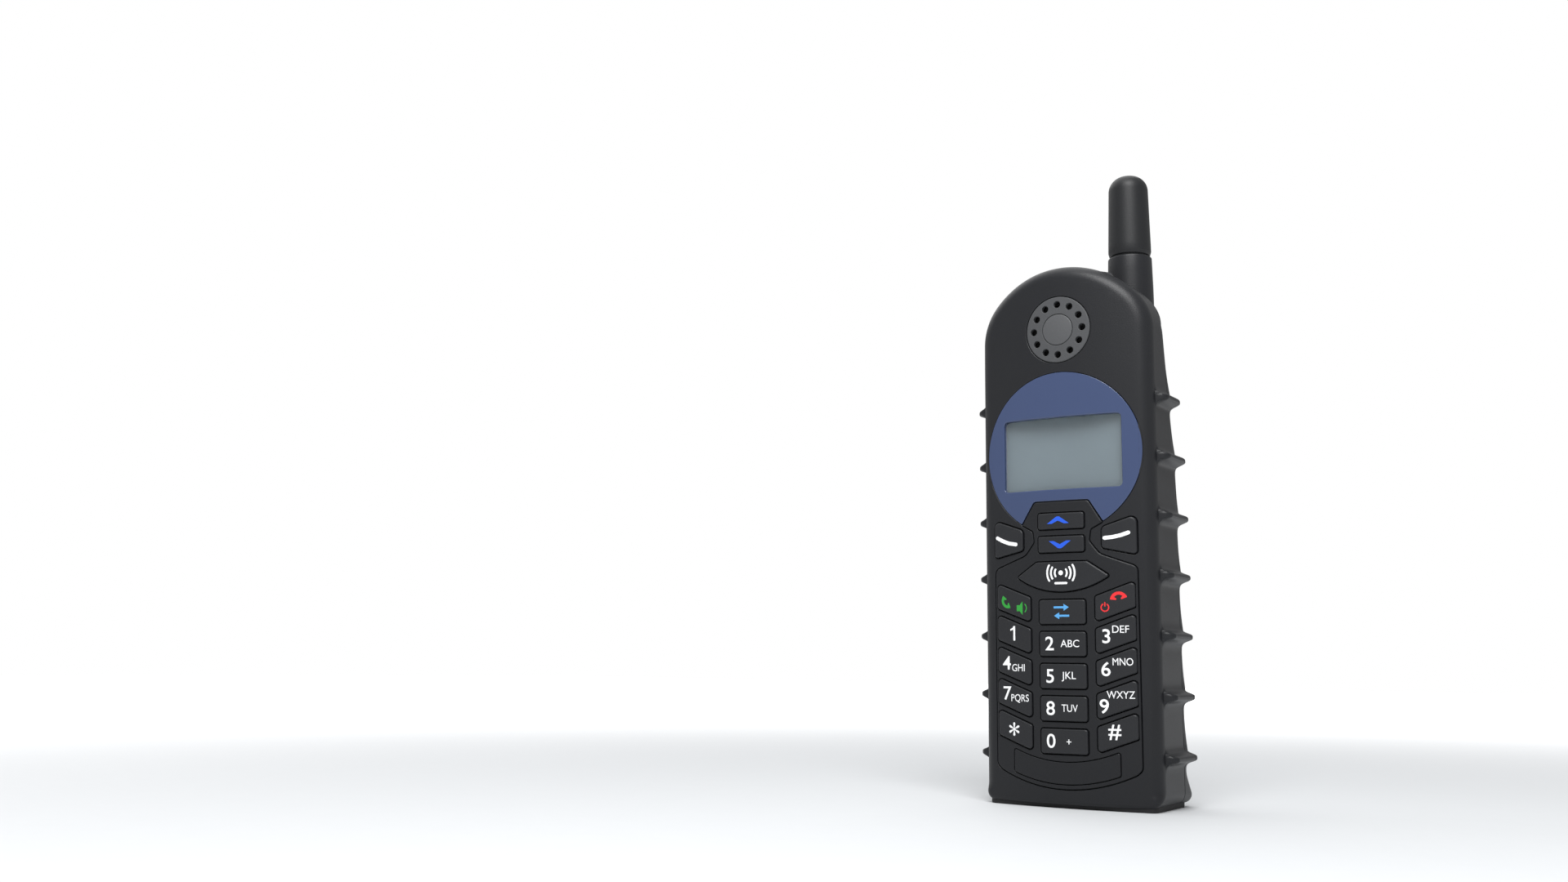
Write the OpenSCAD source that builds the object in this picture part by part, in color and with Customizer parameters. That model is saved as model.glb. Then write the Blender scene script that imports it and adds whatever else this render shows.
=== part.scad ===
// Rugged cordless radio handset with a stub antenna.
// Front faces -Y, the viewer's right is +X, +Z is up.
// The origin is the middle of the flat foot that the handset stands on.

/* [Body] */
// Width of the housing without its side ribs
body_w = 54.2; // [53.6:0.1:55]
// Height of the housing above the resting plane
body_h = 160.5; // [160:0.1:162]
// Depth of the housing at the foot, front to back
body_d = 32.8; // [32.4:0.1:34]
// Forward lean of the back up to the battery cover's upper edge, in degrees
lean_low = 1.2; // [0.8:0.1:1.6]
// Forward lean of the back above that, in degrees
lean_high = 10.5; // [9.5:0.1:11]
// Radius of the crowned front face
crown_r = 101.6; // [95:0.1:115]
// Wall of the front shell
front_wall = 2.2; // [2.1:0.05:2.3]
// Wall of the rear shell
rear_wall = 2; // [1.8:0.1:2.2]
// Height of the foot that shows below the housing
foot_show = 1; // [0.8:0.1:1.4]

/* [Side ribs] */
// Number of grip ribs on each side
rib_count = 7; // [3:1:7]
// Height of the top rib above the resting plane
rib_top_z = 118.6; // [117:0.1:119]
// Distance from rib to rib
rib_pitch = 17.35; // [17:0.05:17.4]
// How far a rib stands out at the parting line
rib_h = 3.5; // [2:0.1:3.8]
// Half the thickness of a rib at half its height
rib_t = 1.3; // [1.1:0.1:1.5]

/* [Keys] */
// How far a key stands above the face
key_raise = 0.55; // [0.3:0.05:0.8]
// Width of the keys in the middle column
key_w = 14.4; // [14:0.1:14.6]
// Height of the keys in the middle column
key_h = 7.13; // [6.8:0.01:7.3]
// Distance from row to row
key_pitch = 9.28; // [9.2:0.01:9.3]
// Top edge of the first row
row_top = 59.6; // [59.4:0.1:59.8]
// Gap all round a key
key_gap = 0.22; // [0.15:0.01:0.3]

/* [Display] */
// Height of the display's centre
lcd_z = 103; // [102.5:0.1:103.5]
// Radius of the round display bezel
bezel_r = 24.35; // [24:0.05:24.4]
// Width of the display opening
lcd_w = 37.1; // [36:0.1:37.4]
// Height of the display opening
lcd_h = 21.6; // [21:0.1:22]

/* [Earpiece] */
// Height of the earpiece's centre
ear_z = 140.5; // [140:0.1:141]
// Radius of the earpiece grille
ear_r = 10.1; // [9.6:0.1:10.2]
// Number of sound holes
ear_holes = 12; // [6:1:12]

/* [Antenna] */
// Antenna axis, to the viewer's right of the middle
ant_x = 15; // [14.6:0.1:15.2]
// Antenna axis, behind the middle of the depth
ant_y = 6.2; // [6:0.1:6.6]
// Height of the antenna's tip
ant_top = 192; // [185:0.1:195]
// Height of the seam between the antenna and its boss
ant_seam = 165.6; // [165:0.1:166]
// Radius of the antenna sleeve at its foot
ant_r = 6.5; // [6.3:0.1:6.6]

/* [Battery] */
// Width of the battery cover
cover_w = 37.6; // [37:0.1:38]
// Lower edge of the battery cover
cover_bottom = 14; // [13.6:0.1:14.4]
// Upper edge of the battery cover
cover_top = 96; // [95:0.1:97]

/* [Hidden] */
half_w = body_w / 2;
y_front = -body_d / 2;
y_back = body_d / 2;
crown_y = y_front + crown_r;
top_r = 31;
shoulder_r = 17.2;
bottom_r = 3.5;
edge_r = 2.3;
rear_edge_r = 9;
top_edge_r = 4.2;
knee_z = 97;
rim_flare = lean_high + 2;
top_c = body_h - top_r;
rear_c = knee_z + (top_c - knee_z + rear_edge_r * sin(lean_high)) / cos(lean_high) + 0.3;
shoulder_x = half_w - shoulder_r;
shoulder_c = top_c + sqrt(pow(top_r - shoulder_r, 2) - pow(shoulder_x, 2));
shoulder_a = atan2(shoulder_c - top_c, shoulder_x);
// Parting line: straight below, swept forward over a double arc towards the top
part_low_y = 7;
part_high_y = -0.8;
part_low_z = 87.4;
part_high_z = 143.5;
part_half = (part_high_z - part_low_z) / 2;
part_shift = (part_low_y - part_high_y) / 2;
part_r = (pow(part_half, 2) + pow(part_shift, 2)) / (2 * part_shift);
part_a = asin(part_half / part_r);
// Keypad
col_in = 10;
col_out = 21.5;
flange = 0.6;
flange_front = 3.4;
flange_back = 4.2;
plate_t = 3.2;
plate_flange = 0.8;
stem_y = -8.4;
membrane_y = -7.4;
board_y = -6;
board_t = 1.6;
board_back = board_y + board_t;
// Fasteners
boss_x = 21.2;
boss_low_z = 6.8;
boss_high_x = 19.5;
boss_high_z = 131;
pin_x = 14.6;
pin_low_z = 5.3;
pin_high_x = 10;
pin_high_z = 151.5;
screw_z = 91;
// Battery bay
bay_w = 34;
bay_low = 20;
bay_high = 86;
bay_floor = 6.2;
cover_t = 1.8;
cover_gap = 0.3;
// Loudspeaker and motor
spk_z = 112;
spk_r = 11;
motor_y = -1.2;
motor_z = 134;
boss_r = 6.65;
saddle_h = 2.2;
charge_y = 10.8;
mic_y = -9.6;
big = 220;
$fn = 48;

CHARCOAL = [0.2, 0.2, 0.21];
KEY_GREY = [0.26, 0.26, 0.27];
BLUE = [0.3, 0.36, 0.52];
GOLD = [0.83, 0.68, 0.36];
STEEL = [0.68, 0.69, 0.7];

// ---- outlines ----

function arc(cx, cy, r, a0, a1, n) =
    [for (i = [0:n]) [cx + r * cos(a0 + (a1 - a0) * i / n), cy + r * sin(a0 + (a1 - a0) * i / n)]];

// Lowest-point height of a shallow arc of radius r at a distance x from the middle
function smile(low, r, x) = low + r - sqrt(r * r - x * x);

module along_y(y0, y1) translate([0, y1, 0]) rotate([90, 0, 0]) linear_extrude(height = y1 - y0) children();
module along_x(x0, x1) translate([x0, 0, 0]) rotate([90, 0, 90]) linear_extrude(height = x1 - x0) children();
module rod_y(x, z, r, y0, y1) translate([x, y1, z]) rotate([90, 0, 0]) cylinder(r = r, h = y1 - y0);
module round_rect(w, h, r) offset(r = r, $fn = 24) square([w - 2 * r, h - 2 * r], center = true);
module mirrored() {
    children();
    mirror([1, 0, 0]) children();
}

// Places what is drawn for an upright back on the leaning back, below the knee and above it
module on_back() translate([0, y_back, 0]) rotate([lean_low, 0, 0]) translate([0, -y_back, 0]) children();
module on_upper_back() {
    translate([0, y_back - knee_z * tan(lean_low), knee_z]) rotate([lean_high, 0, 0])
        translate([0, -y_back, -knee_z]) children();
}

// Front view of the housing, with everything moved in by inset
module front_outline(inset) {
    low = foot_show + inset;
    r = bottom_r - inset;
    polygon(concat(
        arc(half_w - bottom_r, foot_show + bottom_r, r, -90, 0, 6),
        arc(shoulder_x, shoulder_c, shoulder_r - inset, 0, shoulder_a, 8),
        arc(0, top_c, top_r - inset, shoulder_a + 4, 176 - shoulder_a, 22),
        arc(-shoulder_x, shoulder_c, shoulder_r - inset, 180 - shoulder_a, 180, 8),
        arc(-half_w + bottom_r, foot_show + bottom_r, r, 180, 270, 6)));
}

// Plan of the front: crowned, with small edges, open to the rear
module front_plan(inset) {
    ec = crown_y - sqrt(pow(crown_r - edge_r, 2) - pow(half_w - edge_r, 2));
    ea = atan2(ec - crown_y, half_w - edge_r);
    polygon(concat(
        arc(0, crown_y, crown_r - inset, -180 - ea, ea, 28),
        arc(half_w - edge_r, ec, edge_r - inset + 0.3, ea + 14, 0, 4),
        [[half_w - inset, 40], [inset - half_w, 40]],
        arc(-half_w + edge_r, ec, edge_r - inset + 0.3, 180, 166 - ea, 4)));
}

// Plan of the back: large edges, open to the front
module rear_plan(inset) {
    polygon(concat(
        [[inset - half_w, -60], [half_w - inset, -60]],
        arc(half_w - rear_edge_r, y_back - rear_edge_r, rear_edge_r - inset, 0, 90, 8),
        arc(-half_w + rear_edge_r, y_back - rear_edge_r, rear_edge_r - inset, 90, 180, 8)));
}

// Everything below the top arc, and above it a disc with a rounded front rim
module front_rim(inset) {
    f = top_edge_r - inset + 0.05;
    union() {
        translate([-40, y_front - 1, -5]) cube([80, 60, top_c + 5]);
        translate([0, 0, top_c]) rotate([-90, 0, 0]) rotate_extrude($fn = 120) polygon(concat(
            [[0, y_front + top_edge_r - f]],
            arc(top_r - top_edge_r, y_front + top_edge_r, f, -90, 0, 8),
            [[top_r - top_edge_r + f, 40], [0, 40]]));
    }
}

// The same for the rear rim, which leans with the upper back
module rear_rim(inset) {
    b = rear_edge_r - inset + 0.05;
    flare = tan(rim_flare) * 60;
    union() {
        translate([-40, -60, -20]) cube([80, 120, rear_c + 20]);
        translate([0, 0, rear_c]) rotate([-90, 0, 0]) rotate_extrude($fn = 120) polygon(concat(
            [[0, -60], [top_r - rear_edge_r + b + flare, y_back - rear_edge_r - 60]],
            arc(top_r - rear_edge_r, y_back - rear_edge_r, b, -rim_flare, 90, 8),
            [[0, y_back - rear_edge_r + b]]));
    }
}

module body_form(inset) {
    intersection() {
        along_y(y_front - 1, y_back + 1) front_outline(inset);
        linear_extrude(height = big) front_plan(inset);
        front_rim(inset);
        on_back() translate([0, 0, -20]) linear_extrude(height = big) rear_plan(inset);
        on_upper_back() translate([0, 0, -20]) linear_extrude(height = big) rear_plan(inset);
        on_upper_back() rear_rim(inset);
    }
}

// Points of the parting line from bottom to top, as [y, z], moved by dy
function part_line(dy) = concat(
    [[part_low_y + dy, -5]],
    arc(part_low_y - part_r + dy, part_low_z, part_r, 0, part_a, 8),
    arc(part_high_y + part_r + dy, part_high_z, part_r, 180 + part_a, 180, 8),
    [[part_high_y + dy, big]]);

module front_region(dy) along_x(-40, 40) polygon(concat(part_line(dy), [[-60, big], [-60, -5]]));
module rear_region(dy) along_x(-40, 40) polygon(concat(part_line(dy), [[60, big], [60, -5]]));

// A band between two depths below the crowned face; negative depths stand above it
module crown_band(depth_out, depth_in) {
    translate([0, crown_y, 0]) difference() {
        translate([0, 0, -2]) cylinder(r = crown_r - depth_out, h = big, $fn = 180);
        translate([0, 0, -3]) cylinder(r = crown_r - depth_in, h = big + 2, $fn = 180);
    }
}

// A flat shape laid into the face between two depths
module on_face(depth_out, depth_in) {
    intersection() {
        along_y(y_front - 3, -4) children();
        crown_band(depth_out, depth_in);
    }
}

// How far the leaning back lies in front of the upright one at a height
function back_shift(z) = z < knee_z ? z * tan(lean_low) : knee_z * tan(lean_low) + (z - knee_z) * tan(lean_high);

// Height of a rib at a distance from its middle: a blunt fin with hollow flanks
function fin(u) = rib_h / (1 + pow(abs(u) / rib_t, 3));

// One rib, with a blunt nose at the front and a long run-out at the rear edge
module rib(z) {
    s = back_shift(z);
    intersection() {
        along_y(-12, y_back) polygon(concat(
            [for (t = [-1:0.125:1]) [half_w + fin(4 * t * abs(t)) - 0.06, z + 4 * t * abs(t)]],
            [[half_w - 4, z + 4], [half_w - 4, z - 4]]));
        translate([0, 0, z - 5]) linear_extrude(height = 10) polygon([
            [half_w - 4, -9.8],
            [half_w + 0.5, -9.8],
            [half_w + 2, -9.2],
            [half_w + 2.8, -7.8],
            [half_w + rib_h, -4.2],
            [half_w + rib_h, 8 - s],
            [half_w + rib_h - 0.8, 11 - s],
            [half_w + 0.2, 13.6 - s],
            [half_w - 3, 15 - s],
            [half_w - 4, 15 - s]]);
    }
}

module ribs() {
    for (k = [0:rib_count - 1])
        mirrored() rib(rib_top_z - k * rib_pitch);
}

// Keypad plate outline: wide below, a neck between the soft keys, a head under the display
module plate_2d() {
    side = [[22.2, 11.6], [22.2, 68.2], [20.8, 70], [12.2, 72.6], [9.4, 74.2], [8.6, 76.5],
        [8.7, 78.8], [9.8, 80.4], [12.55, 81.9], [8.5, 87.9], [7.5, 88.5]];
    low = [for (i = [-8:8]) [i * 20.6 / 8, smile(5.4, 46.7, i * 20.6 / 8)]];
    polygon(concat(low, side, [for (i = [len(side) - 1:-1:0]) [-side[i][0], side[i][1]]]));
}

module bezel_2d() {
    difference() {
        translate([0, lcd_z]) circle(r = bezel_r, $fn = 120);
        offset(delta = 0.15) plate_2d();
    }
}

module name_2d() {
    offset(r = 0.8, $fn = 24) offset(delta = -0.8) polygon(concat(
        [for (i = [-8:8]) [i * 2.03, smile(6.8, 46, i * 2.03)]],
        [for (i = [8:-1:-8]) [i * 2.03, smile(13, 40, i * 2.03)]]));
}

module soft_key_2d() {
    offset(r = 1.1, $fn = 24) offset(delta = -1.1)
        polygon([[12.3, 74.4], [22.3, 72.3], [22.3, 83.8], [12.3, 80.4]]);
}

module broadcast_2d() {
    r = (pow(14.4, 2) + pow(4.5, 2)) / 9;
    offset(r = 0.7, $fn = 24) offset(delta = -0.7) polygon(concat(
        [for (i = [-10:10]) [i * 1.44, smile(61.9, r, i * 1.44)]],
        [[7.9, 70.7], [-7.9, 70.7]]));
}

module middle_key_2d(row) translate([0, row_top - row * key_pitch - key_h / 2]) round_rect(key_w, key_h, 0.8);
module nav_key_2d(z) translate([0, z]) round_rect(key_w, 4.8, 0.7);
module side_key_2d(row) {
    z = row_top - row * key_pitch;
    offset(r = 0.9, $fn = 24) offset(delta = -0.9)
        polygon([[col_in, z - 6.5], [col_out, z - 2.3], [col_out, z + 5.1], [col_in, z + 0.8]]);
}

// All key shapes of the keypad plate, then those of the front shell
module plate_keys_2d() {
    nav_key_2d(82.7);
    nav_key_2d(75.85);
    broadcast_2d();
    for (row = [0:4]) {
        middle_key_2d(row);
        mirrored() side_key_2d(row);
    }
}

// ---- housing ----

module shell_bosses() {
    mirrored() {
        rod_y(boss_x, boss_low_z, 2.2, y_front + 3, part_low_y + 1);
        rod_y(boss_high_x, boss_high_z, 2.5, y_front + 3, 2);
        rod_y(pin_x, pin_low_z, 1.3, y_front + 1.5, board_y);
        rod_y(pin_high_x, pin_high_z, 1.9, y_front + 1.5, board_y);
    }
}

module seal_ring() {
    intersection() {
        along_y(-6, 12) difference() {
            front_outline(1.1);
            front_outline(1.6);
        }
        front_region(0);
        rear_region(-0.7);
    }
}

module front_shell() {
    color(CHARCOAL) difference() {
        intersection() {
            union() {
                difference() {
                    union() {
                        body_form(0);
                        ribs();
                    }
                    body_form(front_wall);
                }
                intersection() {
                    shell_bosses();
                    body_form(0.5);
                }
            }
            front_region(0);
        }
        on_face(-3, 1.5) offset(delta = 0.1) bezel_2d();
        along_y(y_front - 3, -8) translate([0, lcd_z]) square([38.7, 23.2], center = true);
        along_y(y_front - 3, -8) plate_2d();
        mirrored() along_y(y_front - 3, -8) offset(delta = key_gap) soft_key_2d();
        intersection() {
            rod_y(0, ear_z, ear_r + 0.15, y_front - 3, -8);
            crown_band(-3, 1.2);
        }
        rod_y(0, ear_z, 8.6, y_front - 3, -8);
        mirrored() {
            rod_y(boss_x, boss_low_z, 0.9, -2, 9);
            rod_y(boss_high_x, boss_high_z, 0.9, -9, 3);
            rod_y(pin_x, pin_low_z, 0.7, -11.5, -5);
            rod_y(pin_high_x, pin_high_z, 0.7, -11.5, -5);
        }
        seal_ring();
        foot_form(0);
        microphone_port();
    }
}

module shell_gasket() color("dimgray") seal_ring();

// The antenna's boss grows out of the back as a cone; cut moves its surface in
module antenna_boss(cut) {
    translate([ant_x, ant_y, 0]) rotate_extrude() polygon([
        [0, 122],
        [1.6 - cut / 2, 122],
        [boss_r + 0.3 - cut, 147],
        [boss_r + 0.3 - cut, 156],
        [boss_r - cut, ant_seam - 0.4],
        [boss_r - 0.3 - cut, ant_seam],
        [0, ant_seam]]);
}

// A low saddle between the top of the housing and the antenna's boss
module antenna_saddle() {
    intersection() {
        along_y(part_high_y, 10) polygon(concat(
            [[-7, 156], [-7, top_c + sqrt(top_r * top_r - 49)]],
            arc(0, top_c, top_r + saddle_h, 93, 62, 8),
            [[ant_x, 156]]));
        along_x(-10, ant_x) polygon([[part_high_y, 150], [part_high_y, top_c + top_r + 1.2],
            [part_high_y + 1, top_c + top_r + saddle_h], [3, top_c + top_r + saddle_h], [9, 156], [9, 150]]);
    }
}

module rear_bosses() {
    mirrored() {
        rod_y(boss_x, boss_low_z, 3, part_low_y, y_back - 0.5);
        rod_y(boss_high_x, boss_high_z, 3.4, -3, y_back - 0.5);
    }
    on_back() rod_y(0, screw_z, 3.4, 9, y_back - 1);
}

module rear_shell() {
    color(CHARCOAL) difference() {
        union() {
            intersection() {
                union() {
                    difference() {
                        union() {
                            body_form(0);
                            ribs();
                        }
                        difference() {
                            body_form(rear_wall);
                            on_back() translate([-half_w, 12.7, 12]) cube([body_w, 10, 86]);
                        }
                    }
                    intersection() {
                        rear_bosses();
                        body_form(0.4);
                    }
                    difference() {
                        antenna_boss(0);
                        intersection() {
                            antenna_boss(rear_wall);
                            cube([80, 80, 294], center = true);
                        }
                        translate([ant_x - 10, ant_y - 20, 110]) cube([20, 20, 37]);
                    }
                    difference() {
                        antenna_saddle();
                        body_form(rear_wall);
                    }
                }
                rear_region(0);
            }
            on_back() translate([-bay_w / 2 - 1.6, bay_floor - 1.8, bay_low - 1.6])
                cube([bay_w + 3.2, 13.9 - bay_floor + 1.8, bay_high - bay_low + 3.2]);
        }
        on_back() {
            translate([-bay_w / 2, bay_floor, bay_low]) cube([bay_w, 20, bay_high - bay_low]);
            along_y(y_back - cover_t - cover_gap, y_back + 1)
                translate([0, (cover_top + cover_bottom) / 2])
                round_rect(cover_w + 2 * cover_gap, cover_top - cover_bottom + 2 * cover_gap, 3.3);
            rod_y(0, screw_z, 1.6, 9.8, 18);
            contact_slots();
        }
        mirrored() {
            rod_y(boss_x, boss_low_z, 1.25, 5, 18);
            rod_y(boss_x, boss_low_z, 2.3, 9.5, 18);
            rod_y(boss_high_x, boss_high_z, 1.25, -5, 18);
            rod_y(boss_high_x, boss_high_z, 2.3, 3, 18);
        }
        on_upper_back() sound_holes();
        translate([ant_x, ant_y, 152]) cylinder(r = 4, h = 20);
        translate([ant_x, ant_y, 140]) cylinder(r = 2.6, h = 20);
        foot_form(0);
        charging_holes(2.05);
    }
}

module contact_slots() {
    for (x = [-10.1, 0, 10.1])
        translate([x - 1.1, bay_floor - 3, 24]) cube([2.2, 5, 5]);
}

module sound_holes() {
    for (ring = [0:2])
        for (i = [0:max(1, ring * 6) - 1])
            rod_y(ring * 3.1 * cos(i * 60 / max(1, ring)), spk_z + ring * 3.1 * sin(i * 60 / max(1, ring)),
                0.8, 10, 18);
}

module keypad_plate() {
    color(KEY_GREY) difference() {
        union() {
            on_face(0, plate_t) offset(delta = -0.12) plate_2d();
            on_face(front_wall + 0.1, plate_t) offset(delta = plate_flange) plate_2d();
        }
        along_y(y_front - 3, -8) offset(delta = key_gap) plate_keys_2d();
        on_face(-3, 1) offset(delta = 0.12) name_2d();
    }
}

module name_plate() color(CHARCOAL) on_face(-0.2, 1) name_2d();

// The foot is a slab in the plan of the housing, let into the bottom wall
module foot_form(clear) {
    translate([0, 0, -1]) linear_extrude(height = foot_show + 1.6) offset(r = 2.5, $fn = 24) offset(delta = -2.5)
        intersection() {
            front_plan(1.6 - clear);
            rear_plan(1.6 - clear);
        }
}

module charging_holes(r) {
    mirrored() translate([7, charge_y, -1]) cylinder(r = r, h = 8);
}

module microphone_port() translate([0, mic_y, -1]) cylinder(r = 0.6, h = 8);

module base_foot() {
    color("black") difference() {
        foot_form(0);
        translate([-40, -40, -10]) cube([80, 80, 10]);
        charging_holes(2.4);
        microphone_port();
    }
}

// ---- display ----

module display_bezel() {
    color(BLUE) difference() {
        on_face(0, 1.4) bezel_2d();
        along_y(y_front - 3, -8) translate([0, lcd_z]) round_rect(lcd_w, lcd_h, 1.2);
    }
}

module slab(w, h, y0, y1) translate([-w / 2, y0, lcd_z - h / 2]) cube([w, y1 - y0, h]);
module display_window() {
    color([0.8, 0.85, 0.9, 0.4]) union() {
        slab(lcd_w - 0.4, lcd_h - 0.4, -13.9, -13);
        slab(38.3, 22.8, -13.1, -12.3);
    }
}
module lcd_panel() {
    color([0.5, 0.56, 0.57]) union() {
        slab(38, 22.5, -12.3, -11.8);
        slab(42, 27, -11.9, -10.2);
    }
}
module lcd_backlight() color("white") slab(42, 27, -10.2, -8.6);
module lcd_frame() {
    color("darkgray") difference() {
        slab(45.6, 31, -11.2, board_y);
        slab(42.4, 27.4, -12, -8.4);
        slab(36, 21, -9, board_y + 1);
    }
}

// ---- earpiece ----

module earpiece_grille() {
    color([0.42, 0.42, 0.43]) difference() {
        intersection() {
            rod_y(0, ear_z, ear_r, y_front - 3, -8);
            crown_band(0, 1.2);
        }
        for (i = [0:ear_holes - 1])
            rod_y(7.7 * sin(i * 360 / ear_holes), ear_z + 7.7 * cos(i * 360 / ear_holes), 1.05,
                y_front - 3, -8);
        rod_y(0, ear_z, 4.85, y_front - 3, y_front + 0.7);
    }
}

module earpiece_cap() {
    color([0.44, 0.44, 0.45]) translate([0, y_front, ear_z]) rotate([-90, 0, 0])
        rotate_extrude($fn = 96) polygon(concat(
            [[0, 0.7], [0, -0.3]],
            [for (i = [1:8]) [i * 4.75 / 8, -0.3 + pow(i / 8, 2) * 0.3]],
            [[4.75, 0.7]]));
}

module earpiece_gasket() {
    color("black") difference() {
        rod_y(0, ear_z, 10, -13.5, -12.7);
        rod_y(0, ear_z, 8, -14, -12);
    }
}

module earpiece_speaker() {
    color(STEEL) union() {
        rod_y(0, ear_z, 9, -12.7, -10.4);
        rod_y(0, ear_z, 6, -10.5, -8.6);
    }
}

// ---- keys ----

// A key: crowned cap, a flange behind the wall, and a stem that works the switch
module key_form() {
    color(KEY_GREY) union() {
        on_face(-key_raise, flange_back) children();
        on_face(flange_front, flange_back) offset(delta = flange) children();
        along_y(-12.2, stem_y) offset(delta = -1.3) children();
    }
}

module nav_up_key() key_form() nav_key_2d(82.7);
module nav_down_key() key_form() nav_key_2d(75.85);
module soft_left_key() mirror([1, 0, 0]) key_form() soft_key_2d();
module soft_right_key() key_form() soft_key_2d();
module broadcast_key() key_form() broadcast_2d();
module talk_key() mirror([1, 0, 0]) key_form() side_key_2d(0);
module intercom_key() key_form() middle_key_2d(0);
module end_key() key_form() side_key_2d(0);
module key_1() mirror([1, 0, 0]) key_form() side_key_2d(1);
module key_2() key_form() middle_key_2d(1);
module key_3() key_form() side_key_2d(1);
module key_4() mirror([1, 0, 0]) key_form() side_key_2d(2);
module key_5() key_form() middle_key_2d(2);
module key_6() key_form() side_key_2d(2);
module key_7() mirror([1, 0, 0]) key_form() side_key_2d(3);
module key_8() key_form() middle_key_2d(3);
module key_9() key_form() side_key_2d(3);
module key_star() mirror([1, 0, 0]) key_form() side_key_2d(4);
module key_0() key_form() middle_key_2d(4);
module key_hash() key_form() side_key_2d(4);

// Centres of the switches, one behind each key
function switch_points() = concat(
    [[0, 82.7], [0, 75.85], [-17.3, 77.9], [17.3, 77.9], [0, 66.3]],
    [for (row = [0:4]) for (side = [-1:1])
        [side * 15.75, row_top - row * key_pitch - (side == 0 ? key_h / 2 : 0.7)]]);

module key_membrane() {
    color("gray") union() {
        translate([-22.4, membrane_y, 14.8]) cube([44.8, 1, 71.8]);
        for (p = switch_points())
            rod_y(p[0], p[1], 1.6, membrane_y - 0.2, membrane_y + 0.5);
    }
}

module dome_sheet() {
    color(GOLD) for (p = switch_points())
        rod_y(p[0], p[1], 2, membrane_y + 1.05, board_y);
}

// ---- electronics ----

module main_board() {
    color("darkgreen") difference() {
        along_y(board_y, board_back) intersection() {
            front_outline(3.4);
            translate([-30, 4]) square([60, 149.5]);
        }
        mirrored() {
            translate([boss_x - 2.8, -8, 3]) cube([8, 8, boss_low_z]);
            rod_y(boss_high_x, boss_high_z, 2.9, -8, 0);
            rod_y(pin_x, pin_low_z, 1, -8, 0);
            rod_y(pin_high_x, pin_high_z, 1, -8, 0);
        }
    }
}

module board_box(x, z, w, h, t) translate([x - w / 2, board_back, z - h / 2]) cube([w, t, h]);
module radio_shield() color(STEEL) board_box(0, 108, 38, 28, 2.8);
module logic_shield() color(STEEL) board_box(0, 56, 34, 26, 2.4);
module board_chips() {
    color([0.12, 0.12, 0.12]) {
        board_box(-10, 82, 10, 10, 1.2);
        board_box(6, 83, 12, 8, 1.1);
        board_box(-8, 32, 8, 12, 1.2);
        board_box(9, 30, 10, 6, 1);
    }
}

module board_screw(x, z) {
    rod_y(x, z, 1.7, board_back, board_back + 1);
    rod_y(x, z, 0.65, board_y - 4, board_back + 0.5);
}

module board_screws() {
    color(STEEL) mirrored() {
        board_screw(pin_x, pin_low_z);
        board_screw(pin_high_x, pin_high_z);
    }
}

module shell_screw(x, z, head_y) {
    rod_y(x, z, 2, head_y, head_y + 1.6);
    rod_y(x, z, 0.85, head_y - 8, head_y + 0.5);
}

module shell_screws() {
    color(STEEL) mirrored() {
        shell_screw(boss_x, boss_low_z, 9.5);
        shell_screw(boss_high_x, boss_high_z, 3);
    }
}

module microphone() color(STEEL) translate([0, mic_y, 4.1]) cylinder(r = 2.6, h = 2.2);
module microphone_boot() {
    color("black") translate([0, mic_y, 0]) difference() {
        translate([0, 0, foot_show + front_wall]) cylinder(r = 3.3, h = 3);
        translate([0, 0, 4.1]) cylinder(r = 2.6, h = 4);
        cylinder(r = 0.6, h = 8);
    }
}

module loudspeaker() {
    color("dimgray") on_upper_back() union() {
        rod_y(0, spk_z, spk_r, 10.4, 13.7);
        rod_y(0, spk_z, 6.5, 8.2, 10.6);
    }
}

module loudspeaker_gasket() {
    color("black") on_upper_back() difference() {
        rod_y(0, spk_z, spk_r, 13.7, y_back - rear_wall);
        rod_y(0, spk_z, 9, 13, 15);
    }
}

module motor_can() {
    color(STEEL) difference() {
        translate([-6, motor_y, motor_z]) rotate([0, 90, 0]) cylinder(r = 3, h = 12);
        translate([2, motor_y, motor_z]) rotate([0, 90, 0]) cylinder(r = 0.55, h = 6);
    }
}

module motor_weight() {
    color(STEEL) union() {
        translate([3, motor_y, motor_z]) rotate([0, 90, 0]) cylinder(r = 0.5, h = 7);
        intersection() {
            translate([6.8, motor_y, motor_z]) rotate([0, 90, 0]) cylinder(r = 2.7, h = 3.2);
            translate([6, motor_y - 4, motor_z - 3.4]) cube([5, 8, 4]);
        }
    }
}

// ---- antenna ----

module antenna_sleeve() {
    h = ant_top - ant_seam;
    color(CHARCOAL) translate([ant_x, ant_y, ant_seam]) rotate_extrude() polygon(concat(
        [[3, 0.5], [ant_r - 0.25, 0.5], [ant_r, 1.2], [ant_r - 0.5, h - 4.9]],
        [for (a = [10:10:80]) [1.15 + (ant_r - 1.65) * cos(a), h - 4.9 + 4.85 * sin(a)]],
        [[1.1, h], [0, h], [0, h - 3.5], [3, h - 3.5]]));
}

module antenna_coil() {
    color(GOLD) translate([ant_x, ant_y, ant_seam]) rotate_extrude() polygon(concat(
        [[1.6, 3.2]],
        [for (i = [0:17]) [i % 2 == 0 ? 2.9 : 2.5, 3.2 + i]],
        [[2.5, 20.6], [1.6, 20.6]]));
}

module antenna_stud() {
    color(GOLD) translate([ant_x, ant_y, ant_seam]) union() {
        translate([0, 0, 0.2]) cylinder(r = 2.95, h = 3);
        translate([0, 0, -9]) cylinder(r = 2, h = 10);
        cylinder(r = 1.5, h = 20);
    }
}

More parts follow.
